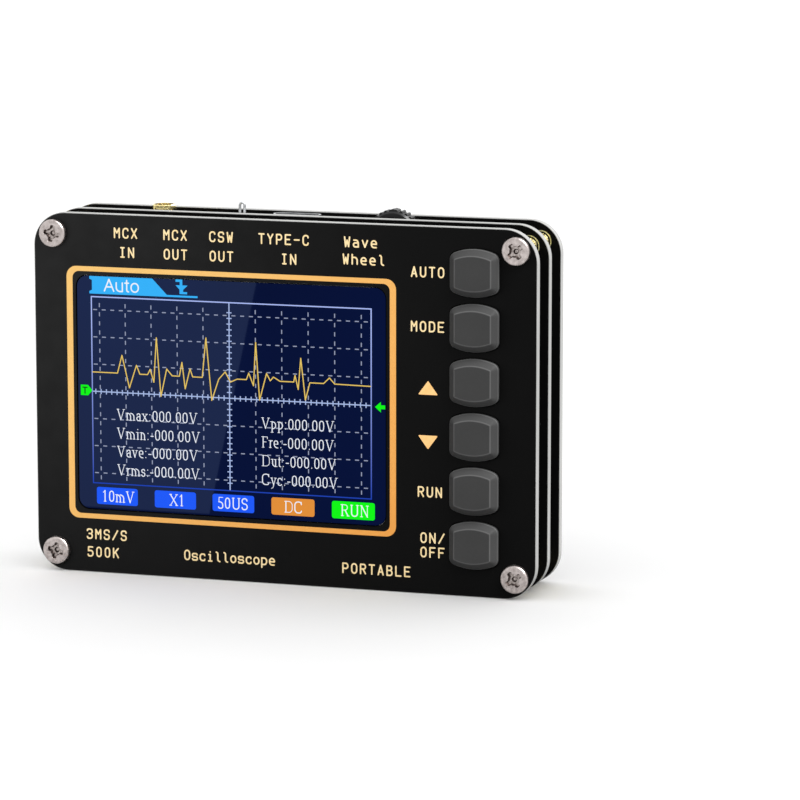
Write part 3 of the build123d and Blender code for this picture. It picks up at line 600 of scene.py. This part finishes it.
def pixel_shade(mat, low):
    """1 inside each picture element of the display, falling to low on the lines between them."""
    place = node(mat, "SeparateXYZ", {"Vector": place_of(mat)})
    lines = []
    for axis in ("X", "Z"):
        along = math(mat, "MODULO", math(mat, "ADD", place.outputs[axis], 1.0), PIXEL)
        lines.append(math(mat, "LESS_THAN", along, PIXEL * PIXEL_LINE))
    between_pixels = math(mat, "MAXIMUM", lines[0], lines[1])
    return between(mat, between_pixels, 1.0, low, 0.0, 1.0)


def lit_finish(name, color, low=0.8):
    """Lit picture elements of one colour."""
    mat = finish(name, color=(0.0, 0.0, 0.0, 1), rough=0.3, specular=0.08, glow_strength=1.0)
    shade = pixel_shade(mat, low)
    scaled = node(mat, "VectorMath", {0: color[:3], "Scale": shade}, operation="SCALE")
    to_shader(mat, "glow", scaled.outputs["Vector"])
    return mat


def frame_line_finish():
    """Line round the graph: pale at its top, deep blue at its foot."""
    mat = lit_finish("lit_frame", srgb(176, 194, 252))
    place = node(mat, "SeparateXYZ", {"Vector": place_of(mat)})
    foot, head = flat_point(0, FRAME_B)[1] * MM, flat_point(0, FRAME_T)[1] * MM
    height = node(mat, "MapRange", {"Value": place.outputs["Z"], "From Min": foot, "From Max": head})
    color = colors(mat, height.outputs["Result"], srgb(20, 62, 180), srgb(172, 190, 250), 0.0, 0.9)
    scaled = node(mat, "VectorMath", {0: color, "Scale": pixel_shade(mat, 0.85)}, operation="SCALE")
    to_shader(mat, "glow", scaled.outputs["Vector"])
    return mat


def glass_finish():
    """Display: dark blue picture elements, unevenly backlit, under a polished front."""
    mat = finish("display_glass", color=(0.0, 0.0004, 0.002, 1), rough=0.03, specular=0.085,
                 tint=(0.34, 0.52, 1.0, 1), glow_strength=1.0)
    cloud = colors(mat, grain(mat, 25), srgb(0, 5, 46), srgb(0, 9, 54))
    scaled = node(mat, "VectorMath", {0: cloud, "Scale": pixel_shade(mat, 0.7)}, operation="SCALE")
    normal = node(mat, "SeparateXYZ", {"Vector": node(mat, "TexCoord").outputs["Normal"]})
    front = math(mat, "LESS_THAN", normal.outputs["Y"], -0.5)
    shown = node(mat, "VectorMath", {0: scaled.outputs["Vector"], "Scale": front}, operation="SCALE")
    to_shader(mat, "glow", shown.outputs["Vector"])
    return mat


FINISHES = {
    "board": board_finish(),
    "border": border_finish(),
    "label": gold_finish("gold_label", srgb(232, 205, 150), srgb(242, 220, 174)),
    "arrow": gold_finish("gold_arrow", srgb(240, 187, 119), srgb(250, 201, 138)),
    "pad": gold_finish("gold_pad", srgb(200, 200, 162), srgb(216, 216, 182), 0.3),
    "glass": glass_finish(),
    "screw": screw_finish(),
    "brass": metal_finish("spacer_brass", srgb(204, 188, 122), srgb(232, 218, 156), 0.24, 800, 0.001),
    "jack": metal_finish("jack_gold", srgb(222, 198, 122), srgb(250, 238, 180), 0.18, 700, 0.0005),
    "contact": metal_finish("contact_gold", srgb(214, 176, 84), srgb(255, 226, 140), 0.22, 900, 0.002),
    "steel": metal_finish("shell_steel", srgb(168, 170, 172), srgb(206, 208, 210), 0.28, 500, 0.003,
                          0.3, (1, 1, 12)),
    "tin": metal_finish("tinned_leads", srgb(186, 188, 190), srgb(226, 228, 230), 0.34, 900, 0.006),
    "key": key_finish(),
    # Lighter plastic for the keys' bevelled edges: a painted highlight along the edges.
    "key_edge_highlight": plastic_finish("key_edge_highlight", (0.05, 0.05, 0.05, 1), (0.06, 0.06, 0.06, 1), 0.5, 0.2),
    "black": plastic_finish("black_plastic", (0.011, 0.011, 0.012, 1), (0.018, 0.018, 0.019, 1), 0.42),
    "jog": plastic_finish("jog_plastic", (0.004, 0.004, 0.0045, 1), (0.007, 0.007, 0.0075, 1), 0.32, 0.3),
    "white": plastic_finish("white_plastic", (0.72, 0.71, 0.68, 1), (0.80, 0.79, 0.76, 1), 0.38),
    "foam": plastic_finish("foam_tape", (0.55, 0.54, 0.50, 1), (0.70, 0.69, 0.65, 1), 0.9, 0.1, 1400, 0.03),
    "ptfe": plastic_finish("ptfe", (0.80, 0.80, 0.78, 1), (0.88, 0.88, 0.86, 1), 0.45, 0.3),
    "epoxy": plastic_finish("chip_epoxy", (0.014, 0.014, 0.015, 1), (0.024, 0.024, 0.025, 1), 0.5),
    "ferrite": plastic_finish("ferrite", (0.035, 0.034, 0.034, 1), (0.065, 0.063, 0.062, 1), 0.6),
    "ceramic": plastic_finish("ceramic_chip", (0.34, 0.25, 0.17, 1), (0.46, 0.36, 0.25, 1), 0.5),
    "red": plastic_finish("red_wire", (0.52, 0.015, 0.012, 1), (0.66, 0.03, 0.022, 1), 0.38),
    "wire": plastic_finish("black_wire", (0.012, 0.012, 0.013, 1), (0.02, 0.02, 0.022, 1), 0.38),
    "flex": plastic_finish("flex_film", (0.50, 0.20, 0.035, 1), (0.62, 0.28, 0.06, 1), 0.25, 0.5),
    "pouch": metal_finish("cell_pouch", srgb(176, 180, 184), srgb(214, 217, 220), 0.34, 160, 0.06),
    "white_light": lit_finish("lit_white", srgb(240, 245, 254), 0.9),
    "grid_light": lit_finish("lit_grid", srgb(152, 161, 186)),
    "axis_light": lit_finish("lit_axis", srgb(168, 188, 232)),
    "frame_light": frame_line_finish(),
    "trace_light": lit_finish("lit_trace", srgb(236, 202, 100)),
    "blue_light": lit_finish("lit_blue", srgb(24, 90, 255)),
    "orange_light": lit_finish("lit_orange", srgb(230, 145, 55)),
    "green_light": lit_finish("lit_green", srgb(0, 252, 10)),
    "cyan_light": lit_finish("lit_cyan", srgb(51, 181, 255)),
    "dark_light": lit_finish("lit_dark", srgb(0, 60, 20)),
}

NODE_FINISHES = {
    "board": ("front_panel", "main_board", "rear_panel"),
    "screw": ("front_screws", "rear_screws"),
    "brass": ("front_spacers", "rear_spacers"),
    "glass": ("lcd_glass",),
    "foam": ("lcd_adhesive", "battery_tape"),
    "white": ("lcd_backlight_frame", "battery_header", "battery_plug"),
    "flex": ("lcd_flex",),
    "steel": ("usb_c_shell", "crystal_can", "jog_cover", "snap_domes"),
    "jack": ("mcx_in_jack", "mcx_out_jack"),
    "ptfe": ("mcx_in_insulator", "mcx_out_insulator"),
    "contact": ("mcx_in_contact", "mcx_out_contact"),
    "tin": ("csw_out_loop", "switch_terminals"),
    "black": ("usb_c_tongue", "jog_base", "jog_slider"),
    "jog": ("jog_wheel",),
    "pouch": ("battery_cell",),
    "red": ("battery_lead_red",),
    "wire": ("battery_lead_black",),
    "epoxy": ("logic_chips",),
    "ferrite": ("power_inductor",),
    "ceramic": ("chip_passives",),
}
KEYS = ("auto", "mode", "up", "down", "run", "power")

for finish_name, node_names in NODE_FINISHES.items():
    for node_name in node_names:
        nodes[node_name].data.materials.clear()
        nodes[node_name].data.materials.append(FINISHES[finish_name])
for key in KEYS:
    for start, finish_name in (
        ("key_", "key"), ("plunger_", "black"), ("switch_base_", "black"), ("switch_cover_", "steel"),
    ):
        nodes[start + key].data.materials.clear()
        nodes[start + key].data.materials.append(FINISHES[finish_name])


def soften(node_name, width, edge_highlight_finish):
    """Round a CAD node's sharp edges by a weld, a merge of its flat facets and a small bevel, and give the
    bevel's faces a lighter finish as a painted highlight.
    """
    piece = nodes[node_name]
    weld = piece.modifiers.new("weld", "WELD")
    weld.merge_threshold = 0.001 * MM
    merge = piece.modifiers.new("flat_facets", "DECIMATE")
    merge.decimate_type = "DISSOLVE"
    merge.angle_limit = radians(0.5)
    bevel = piece.modifiers.new("soft_edges", "BEVEL")
    bevel.width = width
    bevel.segments = 3
    bevel.limit_method = "ANGLE"
    bevel.use_clamp_overlap = False
    bevel.angle_limit = radians(28)
    bevel.harden_normals = True
    piece.data.materials.append(FINISHES[edge_highlight_finish])
    bevel.material = 1


KEY_EDGE = 0.13 * MM
# The keys' rounded edges get the lighter edge finish, a painted highlight.
for key in KEYS:
    soften("key_" + key, KEY_EDGE, "key_edge_highlight")

# ---------------------------------------------------------------- print on the front panel
panel_face = panel_low.y
glass_face = glass_low.y
LABELS = {
    "label_mcx_in": (("MCX", 15.55, 2.36), ("IN", 16.6, 5.86)),
    "label_mcx_out": (("MCX", 25.1, 2.36), ("OUT", 25.15, 5.86)),
    "label_csw_out": (("CSW", 33.9, 2.36), ("OUT", 33.95, 5.86)),
    "label_usb_c": (("TYPE-C", 43.25, 2.36), ("IN", 47.55, 5.86)),
    "label_wheel": (("Wave", 59.35, 2.32), ("Wheel", 59.1, 5.4)),
    "label_auto": (("AUTO", 71.8, 7.15),),
    "label_mode": (("MODE", 71.8, 16.85),),
    "label_run": (("RUN", 73.1, 46.5),),
    "label_power": (("ON/", 73.6, 54.8), ("OFF", 73.6, 57.4)),
    "label_sampling": (("3MS/S", 9.6, 57.9), ("500K", 9.7, 61.2)),
    "label_kind": (("Oscilloscope", 28.6, 60.7),),
    "label_class": (("PORTABLE", 58.9, 61.2),),
}

def gold_print(name, outlines, finish_name, holes=()):
    """A shape printed in gold on the front panel."""
    piece = solid(name, outlines, panel_face - PRINT_PROUD, panel_face + PRINT_SUNK, holes)
    dress(piece, FINISHES[finish_name])


for label_name, lines in LABELS.items():
    outlines = []
    for text, x, top in lines:
        style = KIND_STYLE if label_name == "label_kind" else LABEL_STYLE
        outlines += line_of_text(text, LABEL_FONT, x, top, style)
    gold_print(label_name, outlines, "label")

ARROW_X = (73.15, 75.0, 76.85)
ARROW_CORNER_R = 0.12
for arrow_name, base_y, tip_y in (("label_up", 30.0, 27.5), ("label_down", 37.3, 39.8)):
    corners = [(ARROW_X[0], base_y), (ARROW_X[1], tip_y), (ARROW_X[2], base_y), (ARROW_X[0], base_y)]
    gold_print(arrow_name, [rounded(corners, ARROW_CORNER_R)[:-1]], "arrow")

# The border's outer edge, then how wide it is at its sides and along its top and foot.
BORDER = (6.25, 9.63, 69.05, 56.0)
BORDER_SIDE = 1.16
BORDER_LEVEL = 0.9
BORDER_R = 1.9
BORDER_INNER_R = 1.25
left, top, right, foot = BORDER
gold_print("gold_border", [rounded_bar(*BORDER, BORDER_R)], "border", [rounded_bar(
    left + BORDER_SIDE, top + BORDER_LEVEL, right - BORDER_SIDE, foot - BORDER_LEVEL, BORDER_INNER_R,
)])

# ---------------------------------------------------------------- picture on the display
CENTRE_X, CENTRE_Y = 37.5, 32.5
DIVISION = 5.0
DASHES = 3
DASH_L = 0.75
DASH_W = 0.19
AXIS_W = 0.21
TICK_STEP = 1.035
TICK_HALF = 0.48
TICK_W = 0.2
BASELINE = 28.95


LIT_LAYER = 0.012 * MM


def lit(name, outlines, finish_name, level=1, holes=()):
    """A lit shape on the display; a higher level lies over a lower one."""
    front = glass_face - level * LIT_LAYER
    piece = solid(name, outlines, front, glass_face + PRINT_SUNK, holes)
    return dress(piece, FINISHES[finish_name])


def grid_dashes():
    """Dashes along every division line, with open crossings."""
    step = DIVISION / DASHES
    dashes = []
    for i in range(-5, 6):
        x = CENTRE_X + i * DIVISION
        y = CENTRE_Y - (round((CENTRE_Y - FRAME_T) / step) - 0.5) * step
        while y < FRAME_B - DASH_L and i != 0:
            if y > FRAME_T + DASH_L:
                dashes.append(bar(x - DASH_W / 2, y - DASH_L / 2, x + DASH_W / 2, y + DASH_L / 2))
            y += step
    for i in range(-3, 4):
        y = CENTRE_Y + i * DIVISION
        x = CENTRE_X - (round((CENTRE_X - FRAME_L) / step) - 0.5) * step
        while x < FRAME_R - DASH_L and i != 0:
            if x > FRAME_L + DASH_L:
                dashes.append(bar(x - DASH_L / 2, y - DASH_W / 2, x + DASH_L / 2, y + DASH_W / 2))
            x += step
    return dashes


def axes():
    """The two centre lines with their tick marks."""
    shapes = [
        bar(CENTRE_X - AXIS_W / 2, FRAME_T, CENTRE_X + AXIS_W / 2, FRAME_B),
        bar(FRAME_L, CENTRE_Y - AXIS_W / 2, FRAME_R, CENTRE_Y + AXIS_W / 2),
    ]
    for side in (-1, 1):
        for i in range(1, int((FRAME_R - CENTRE_X) / TICK_STEP)):
            x = CENTRE_X + side * i * TICK_STEP
            shapes.append(bar(x - TICK_W / 2, CENTRE_Y - TICK_HALF, x + TICK_W / 2, CENTRE_Y + TICK_HALF))
        for i in range(1, int((FRAME_B - CENTRE_Y) / TICK_STEP)):
            y = CENTRE_Y + side * i * TICK_STEP
            shapes.append(bar(CENTRE_X - TICK_HALF, y - TICK_W / 2, CENTRE_X + TICK_HALF, y + TICK_W / 2))
    return shapes


lit("screen_grid", grid_dashes(), "grid_light", 1)
lit("screen_axes", axes(), "axis_light", 2)
lit("screen_frame", [bar(FRAME_L, FRAME_T, FRAME_R, FRAME_B)], "frame_light", 3, [
    bar(FRAME_L + FRAME_LINE, FRAME_T + FRAME_LINE, FRAME_R - FRAME_LINE, FRAME_B - FRAME_LINE),
])

# Beats of the trace: a start, then steps of (how far along, height over the baseline).
BEATS = (
    (15.9, ((0.9, 3.3), (2.3, -2.6), (3.7, 1.6), (4.35, 0))),
    (21.75, ((0.5, 1.0), (1.2, -1.35), (1.75, 6.8), (2.55, -3.85), (3.7, 1.2), (4.75, 0))),
    (27.9, ((0.5, 2.55), (1.1, -2.25), (2.05, 1.45), (2.55, 0))),
    (32.3, ((0.75, 7.2), (1.8, -4.1), (3.15, -0.2), (4.4, 1.2), (5.4, -0.6), (6.7, 0))),
    (40.75, (
        (0.45, 1.2), (1.35, -1.05), (1.8, 6.8), (2.5, -3.6), (3.85, 1.3), (4.55, 0), (5.15, 0.7), (6.4, 0),
    )),
    (49.75, ((0.25, 1.2), (0.85, -1.3), (1.35, 4.35), (2.2, -3.15), (3.05, 0))),
    (55.4, ((1.1, 1.05), (2.1, 0))),
)
TRACE_W = 0.185
trace_points = [(FRAME_L + FRAME_LINE, BASELINE)]
for start, steps in BEATS:
    trace_points.append((start, BASELINE))
    trace_points += [(start + along, BASELINE - height) for along, height in steps]
trace_points.append((FRAME_R - FRAME_LINE, BASELINE + 0.1))
lit("screen_trace", pen(trace_points, TRACE_W), "trace_light", 4)

READOUTS = (
    (15.65, (
        ("Vmax:000.00V", 35.5), ("Vmin:-000.00V", 38.95), ("Vave:-000.00V", 42.3), ("Vrms:-000.00V", 45.7),
    )),
    (43.55, (
        ("Vpp:000.00V", 35.65), ("Fre:-000.00V", 39.1), ("Dut:-000.00V", 42.5), ("Cyc:-000.00V", 45.9),
    )),
)
for side, (x, rows) in zip(("left", "right"), READOUTS):
    outlines = []
    for text, top in rows:
        outlines += line_of_text(text, READOUT_FONT, x, top, READOUT_STYLE)
    lit("screen_readouts_" + side, outlines, "white_light", 5)

TABS = (
    ("10mv", "10mV", 11.6, 19.6, 12.6, "blue_light"),
    ("x1", "X1", 22.9, 30.9, 25.7, "blue_light"),
    ("50us", "50US", 34.1, 42.1, 35.1, "blue_light"),
    ("dc", "DC", 45.4, 53.6, 47.8, "orange_light"),
    ("run", "RUN", 56.9, 65.0, 58.5, "green_light"),
)
TAB_TOP, TAB_BOTTOM, TAB_R = 50.12, 53.28, 0.42
TAB_TEXT_DOWN = 0.5
for tab_name, text, left, right, text_x, finish_name in TABS:
    lit("screen_tab_" + tab_name, [rounded_bar(left, TAB_TOP, right, TAB_BOTTOM, TAB_R)], finish_name, 1)
    words = line_of_text(text, READOUT_FONT, text_x, TAB_TOP + TAB_TEXT_DOWN, TAB_STYLE)
    lit("screen_text_" + tab_name, words, "white_light", 3)

lit("screen_mode_tab", [[
    (10.6, 11.4), (22.8, 11.4), (25.6, 14.25), (31.5, 14.25), (31.5, 14.6), (10.6, 14.6),
    (10.6, 14.15), (11.1, 13.9), (11.1, 12.1), (10.6, 11.9),
]], "cyan_light", 1)
lit("screen_mode_text", line_of_text("Auto", MODE_FONT, 13.4, 11.75, MODE_STYLE), "white_light", 3)
lit("screen_edge_icon", [[
    (27.3, 11.35), (28.6, 11.35), (28.6, 12.4), (29.6, 12.4), (28.75, 13.2), (28.75, 13.6), (29.5, 13.6),
    (29.5, 14.0), (28.05, 14.0), (28.05, 13.2), (27.3, 12.4), (28.1, 12.4), (28.1, 11.8), (27.3, 11.8),
]], "cyan_light", 1)
lit("screen_trigger_flag", [[(8.7, 31.4), (10.1, 31.4), (10.95, 32.35), (10.1, 33.3), (8.7, 33.3)]],
    "green_light", 4)
lit("screen_trigger_t", pen([(9.1, 31.85), (9.95, 31.85)], 0.2) + pen([(9.52, 31.85), (9.52, 32.95)], 0.22),
    "dark_light", 5)
lit("screen_level_arrow", [[
    (65.05, 32.7), (66.15, 31.75), (66.15, 32.35), (66.95, 32.35),
    (66.95, 33.05), (66.15, 33.05), (66.15, 33.65),
]], "green_light", 1)

# ---------------------------------------------------------------- plated rings round the screw holes
RING_OUTER, RING_INNER = 1.98, 1.8
RING_T = 0.03 * MM


def corner_rings(name, front_y, back_y):
    """A thin gold ring round each corner hole."""
    spots = corner_points("front_spacers")
    rings = [circle(x, y, RING_OUTER) for x, y in spots]
    holes = [circle(x, y, RING_INNER) for x, y in spots]
    dress(solid(name, rings, front_y, back_y, holes), FINISHES["pad"])


corner_rings("main_board_rings", main_low.y - RING_T, main_low.y + PRINT_SUNK)
corner_rings("rear_panel_rings", rear_low.y - RING_T, rear_low.y + PRINT_SUNK)

# ---------------------------------------------------------------- soldered details of the main board
# Each is a thin strip: a profile of (out from the part, up from the board) carried along a width.
LEAD_T = 0.15
LEAD_ROOT = -0.1
LEAD_KNEE = 0.22
LEAD_SLOPE = 0.2
LEAD_FOOT = 0.5
LEAD_EXIT = 0.55
# The spacing of the leads on a square chip, on a wide one and on a small one.
SQUARE_PITCH, WIDE_PITCH, SMALL_PITCH = 0.8, 1.27, 0.95
WIDE_CHIP = 4
LEAD_MARGIN = 0.6
SQUARE_LEAD_W, LEAD_W = 0.34, 0.42
CAP_T = 0.03
CAP_L = 0.32
FILLET = 0.35
FILLET_UP = 0.7


def loose_parts(node_name):
    """The lowest and highest corner of each separate piece of a CAD node."""
    mesh = nodes[node_name].data
    places = {}
    number = [places.setdefault(tuple(round(c / MM, 3) for c in v.co), len(places)) for v in mesh.vertices]
    leader = list(range(len(places)))

    def first(i):
        while leader[i] != i:
            i = leader[i]
        return i

    for side in mesh.edges:
        a, b = (first(number[v]) for v in side.vertices)
        leader[max(a, b)] = min(a, b)
    groups = {}
    for vertex, own in zip(mesh.vertices, number):
        groups.setdefault(first(own), []).append(vertex.co)
    return [
        (Vector(min(c[i] for c in g) for i in range(3)), Vector(max(c[i] for c in g) for i in range(3)))
        for g in groups.values()
    ]


def strips(name, profiles, finish_name):
    """Closed strips in one mesh; each is (profile, start, out direction, side direction, width)."""
    points, faces = [], []
    for profile, start, out, side, width in profiles:
        base, n = len(points), len(profile)
        for end in (-0.5, 0.5):
            for along, up in profile:
                sideways = side * (end * width * MM)
                points.append(start + out * (along * MM) + Vector((0, up * MM, 0)) + sideways)
        first, last = list(range(base, base + n)), list(range(base + n, base + 2 * n))
        walls = [(first[i], first[(i + 1) % n], last[(i + 1) % n], last[i]) for i in range(n)]
        faces += [first[::-1], last, *walls]
    mesh = bpy.data.meshes.new(name)
    mesh.from_pydata(points, [], faces)
    shape = bmesh.new()
    shape.from_mesh(mesh)
    bmesh.ops.recalc_face_normals(shape, faces=shape.faces)
    shape.to_mesh(mesh)
    shape.free()
    piece = bpy.data.objects.new(name, mesh)
    bpy.context.scene.collection.objects.link(piece)
    return dress(piece, FINISHES[finish_name])


def gull_wing(body_t):
    """Profile of a lead that leaves a chip's side, bends down and ends in a foot on the board."""
    half, middle = LEAD_T / 2, body_t * LEAD_EXIT
    knee, heel = LEAD_KNEE, LEAD_KNEE + LEAD_SLOPE
    return [
        (LEAD_ROOT, middle - half), (knee - half, middle - half), (heel - half, 0),
        (heel + LEAD_FOOT, 0), (heel + LEAD_FOOT, LEAD_T), (heel + half, LEAD_T),
        (knee + half, middle + half), (LEAD_ROOT, middle + half),
    ]


def chip_leads():
    """Leads along the longer sides of each chip, or along all four sides of a square one."""
    leads = []
    for low, high in loose_parts("logic_chips"):
        width, height = (high.x - low.x) / MM, (high.z - low.z) / MM
        square = abs(width - height) < 0.1
        centre = Vector(((low.x + high.x) / 2, main_high.y, (low.z + high.z) / 2))
        open_pitch = WIDE_PITCH if max(width, height) > WIDE_CHIP else SMALL_PITCH
        pitch, lead_w = (SQUARE_PITCH, SQUARE_LEAD_W) if square else (open_pitch, LEAD_W)
        profile = gull_wing((high.y - low.y) / MM)
        for out, side, reach, length in (
            (Vector((1, 0, 0)), Vector((0, 0, 1)), width / 2, height),
            (Vector((0, 0, 1)), Vector((1, 0, 0)), height / 2, width),
        ):
            if not square and length < max(width, height):
                continue
            count = int((length - LEAD_MARGIN) / pitch) + 1
            for sign in (-1, 1):
                for i in range(count):
                    offset = (i - (count - 1) / 2) * pitch
                    start = centre + out * (sign * reach * MM) + side * (offset * MM)
                    leads.append((profile, start, out * sign, side, lead_w))
    strips("chip_leads", leads, "tin")


def end_caps():
    """Tinned ends and solder fillets of the small ceramic parts."""
    caps = []
    for low, high in loose_parts("chip_passives"):
        length, width, body_t = ((high - low)[i] / MM for i in (0, 2, 1))
        centre = Vector(((low.x + high.x) / 2, main_high.y, (low.z + high.z) / 2))
        wetted = [
            (FILLET * (1 - sin(a)) + CAP_T, body_t * FILLET_UP * (1 - cos(a)))
            for a in (radians(d) for d in (0, 22.5, 45, 67.5, 90))
        ]
        profile = [(-CAP_L, 0), *wetted, (CAP_T, body_t + CAP_T), (-CAP_L, body_t + CAP_T)]
        for sign in (-1, 1):
            start = centre + Vector((sign * length / 2 * MM, 0, 0))
            caps.append((profile, start, Vector((sign, 0, 0)), Vector((0, 0, 1)), width + 2 * CAP_T))
    strips("passive_end_caps", caps, "tin")


chip_leads()
end_caps()

# ---------------------------------------------------------------- floor, light and camera
FLOOR_HALF = 9.0
floor_mesh = bpy.data.meshes.new("floor")
floor_mesh.from_pydata(
    [(x * FLOOR_HALF, y * FLOOR_HALF, 0) for x, y in ((-1, -1), (1, -1), (1, 1), (-1, 1))], [], [(0, 1, 2, 3)]
)
floor = bpy.data.objects.new("floor", floor_mesh)
bpy.context.scene.collection.objects.link(floor)
floor.location.z = cad_low.z - 0.01 * MM
FLOOR_DARK, FLOOR_LIGHT = (0.93, 0.93, 0.93, 1), (0.94, 0.94, 0.94, 1)
floor_finish = finish("pale_floor", rough=0.8, specular=0.1)
to_shader(floor_finish, "color", colors(floor_finish, grain(floor_finish, 30), FLOOR_DARK, FLOOR_LIGHT))
floor_mesh.materials.append(floor_finish)

world = bpy.data.worlds.new("studio")
world.use_nodes = True
world.node_tree.nodes["Background"].inputs["Color"].default_value = (1, 1, 1, 1)
world.node_tree.nodes["Background"].inputs["Strength"].default_value = 1.2
bpy.context.scene.world = world


def aim(thing, location, target, roll=0.0):
    """Put a light or camera at a place, looking at another, turned by roll about its own line."""
    thing.location = location
    thing.rotation_mode = "QUATERNION"
    look = (Vector(target) - Vector(location)).to_track_quat("-Z", "Y")
    thing.rotation_quaternion = look @ Quaternion((0, 0, 1), roll)


def direction(azimuth, elevation):
    """Unit vector towards a place round the object; azimuth 0 is in front, 90 to the right."""
    a, e = radians(azimuth), radians(elevation)
    return Vector((sin(a) * cos(e), -cos(a) * cos(e), sin(e)))


def light(kind, name, lit_objects, blockers=None, **settings):
    """A light that shines on the listed objects only, shaded by the blockers or by everything."""
    data = bpy.data.lights.new(name, kind)
    for key, value in settings.items():
        setattr(data, key, value)
    lamp = bpy.data.objects.new(name, data)
    bpy.context.scene.collection.objects.link(lamp)
    for group, members in (("receiver", lit_objects), ("blocker", blockers)):
        if members is None:
            continue
        collection = bpy.data.collections.new(name + "_" + group)
        for member in members:
            collection.objects.link(member)
        setattr(lamp.light_linking, group + "_collection", collection)
    return lamp


middle = (cad_low + cad_high) / 2
object_pieces = [o for o in bpy.context.scene.objects if o.type == "MESH" and o is not floor]

sun = light("SUN", "window_light", object_pieces, energy=6.3, angle=radians(36))
aim(sun, middle + direction(60, 50), middle)

key_pieces = [nodes["key_" + key] for key in KEYS]
low_fill = light("SUN", "low_fill", key_pieces, energy=1.4, angle=radians(60))
aim(low_fill, middle + direction(10, -40), middle)

gap_pieces = [nodes[n] for n in ("front_spacers", "rear_spacers", "mcx_in_jack", "mcx_out_jack")]
gap_light = light("SUN", "gap_light", gap_pieces, gap_pieces, energy=5.0, angle=radians(40))
aim(gap_light, middle + direction(150, 28), middle)

VIEW_AZIMUTH = 19.61
VIEW_ELEVATION = 9.2
VIEW_DISTANCE = 0.744
LENS = 186.9
AIM_RIGHT = 21.21 * MM
AIM_UP = 0.6 * MM

camera_data = bpy.data.cameras.new("camera")
camera_data.lens = LENS
camera_data.sensor_width = 36
camera_data.clip_start = 0.05
camera_data.clip_end = 40
camera = bpy.data.objects.new("camera", camera_data)
bpy.context.scene.collection.objects.link(camera)
bpy.context.scene.camera = camera
back = direction(VIEW_AZIMUTH, VIEW_ELEVATION)
right = Vector((cos(radians(VIEW_AZIMUTH)), sin(radians(VIEW_AZIMUTH)), 0))
up = back.cross(right)
face_middle = Vector((0, panel_low.y, (panel_low.z + panel_high.z) / 2))
eye = face_middle + back * VIEW_DISTANCE
aim(camera, eye, face_middle + right * AIM_RIGHT + up * AIM_UP)

# Tall light cards stand in front and to the left. The display mirrors the slanted right edge of one,
# and the front panel's satin mask blurs the upright edge of another. A third lights the back.
CARD_AHEAD = 60 * MM
CARD_W, CARD_H = 150 * MM, 260 * MM
REAR_CARD_W, REAR_CARD_H, REAR_CARD_AWAY = 220 * MM, 600 * MM, 250 * MM


def front_card(name, receiver, face, edge_points, energy):
    """A card whose right edge is mirrored between two points of the receiver's front face."""
    eye_behind = Vector((eye.x, 2 * face - eye.y, eye.z))
    edge = []
    for x, y in edge_points:
        flat_x, flat_z = flat_point(x, y)
        on_face = Vector((flat_x * MM, face, flat_z * MM))
        ray = on_face - eye_behind
        edge.append(on_face + ray * (CARD_AHEAD / -ray.y))
    slant = atan2(edge[0].x - edge[1].x, edge[0].z - edge[1].z)
    card_middle = (edge[0] + edge[1]) / 2 + Vector((-cos(slant), 0, sin(slant))) * (CARD_W / 2)
    place_card(light("AREA", name, [receiver], shape="RECTANGLE", size=CARD_W, size_y=CARD_H, energy=energy),
               card_middle, card_middle + Vector((0, 1, 0)), -slant)


def place_card(card, location, target, roll=0.0):
    """Set up a light card that only shows in gloss."""
    aim(card, location, target, roll)
    card.visible_camera = False
    card.visible_diffuse = False


front_card("glass_card", nodes["lcd_glass"], glass_face, ((43.0, 10.0), (33.0, 56.0)), 0.5)
front_card("board_card", nodes["front_panel"], panel_face, ((42.0, 10.0), (42.0, 56.0)), 0.86)
rear_middle = Vector((0, rear_high.y, middle.z))
rear_card = light("AREA", "rear_card", [nodes["rear_panel"]], [nodes["rear_panel"]],
                  shape="RECTANGLE", size=REAR_CARD_W, size_y=REAR_CARD_H, energy=2.6)
place_card(rear_card, rear_middle + direction(150, -12) * REAR_CARD_AWAY, rear_middle)
bpy.context.scene.view_settings.view_transform = "Standard"
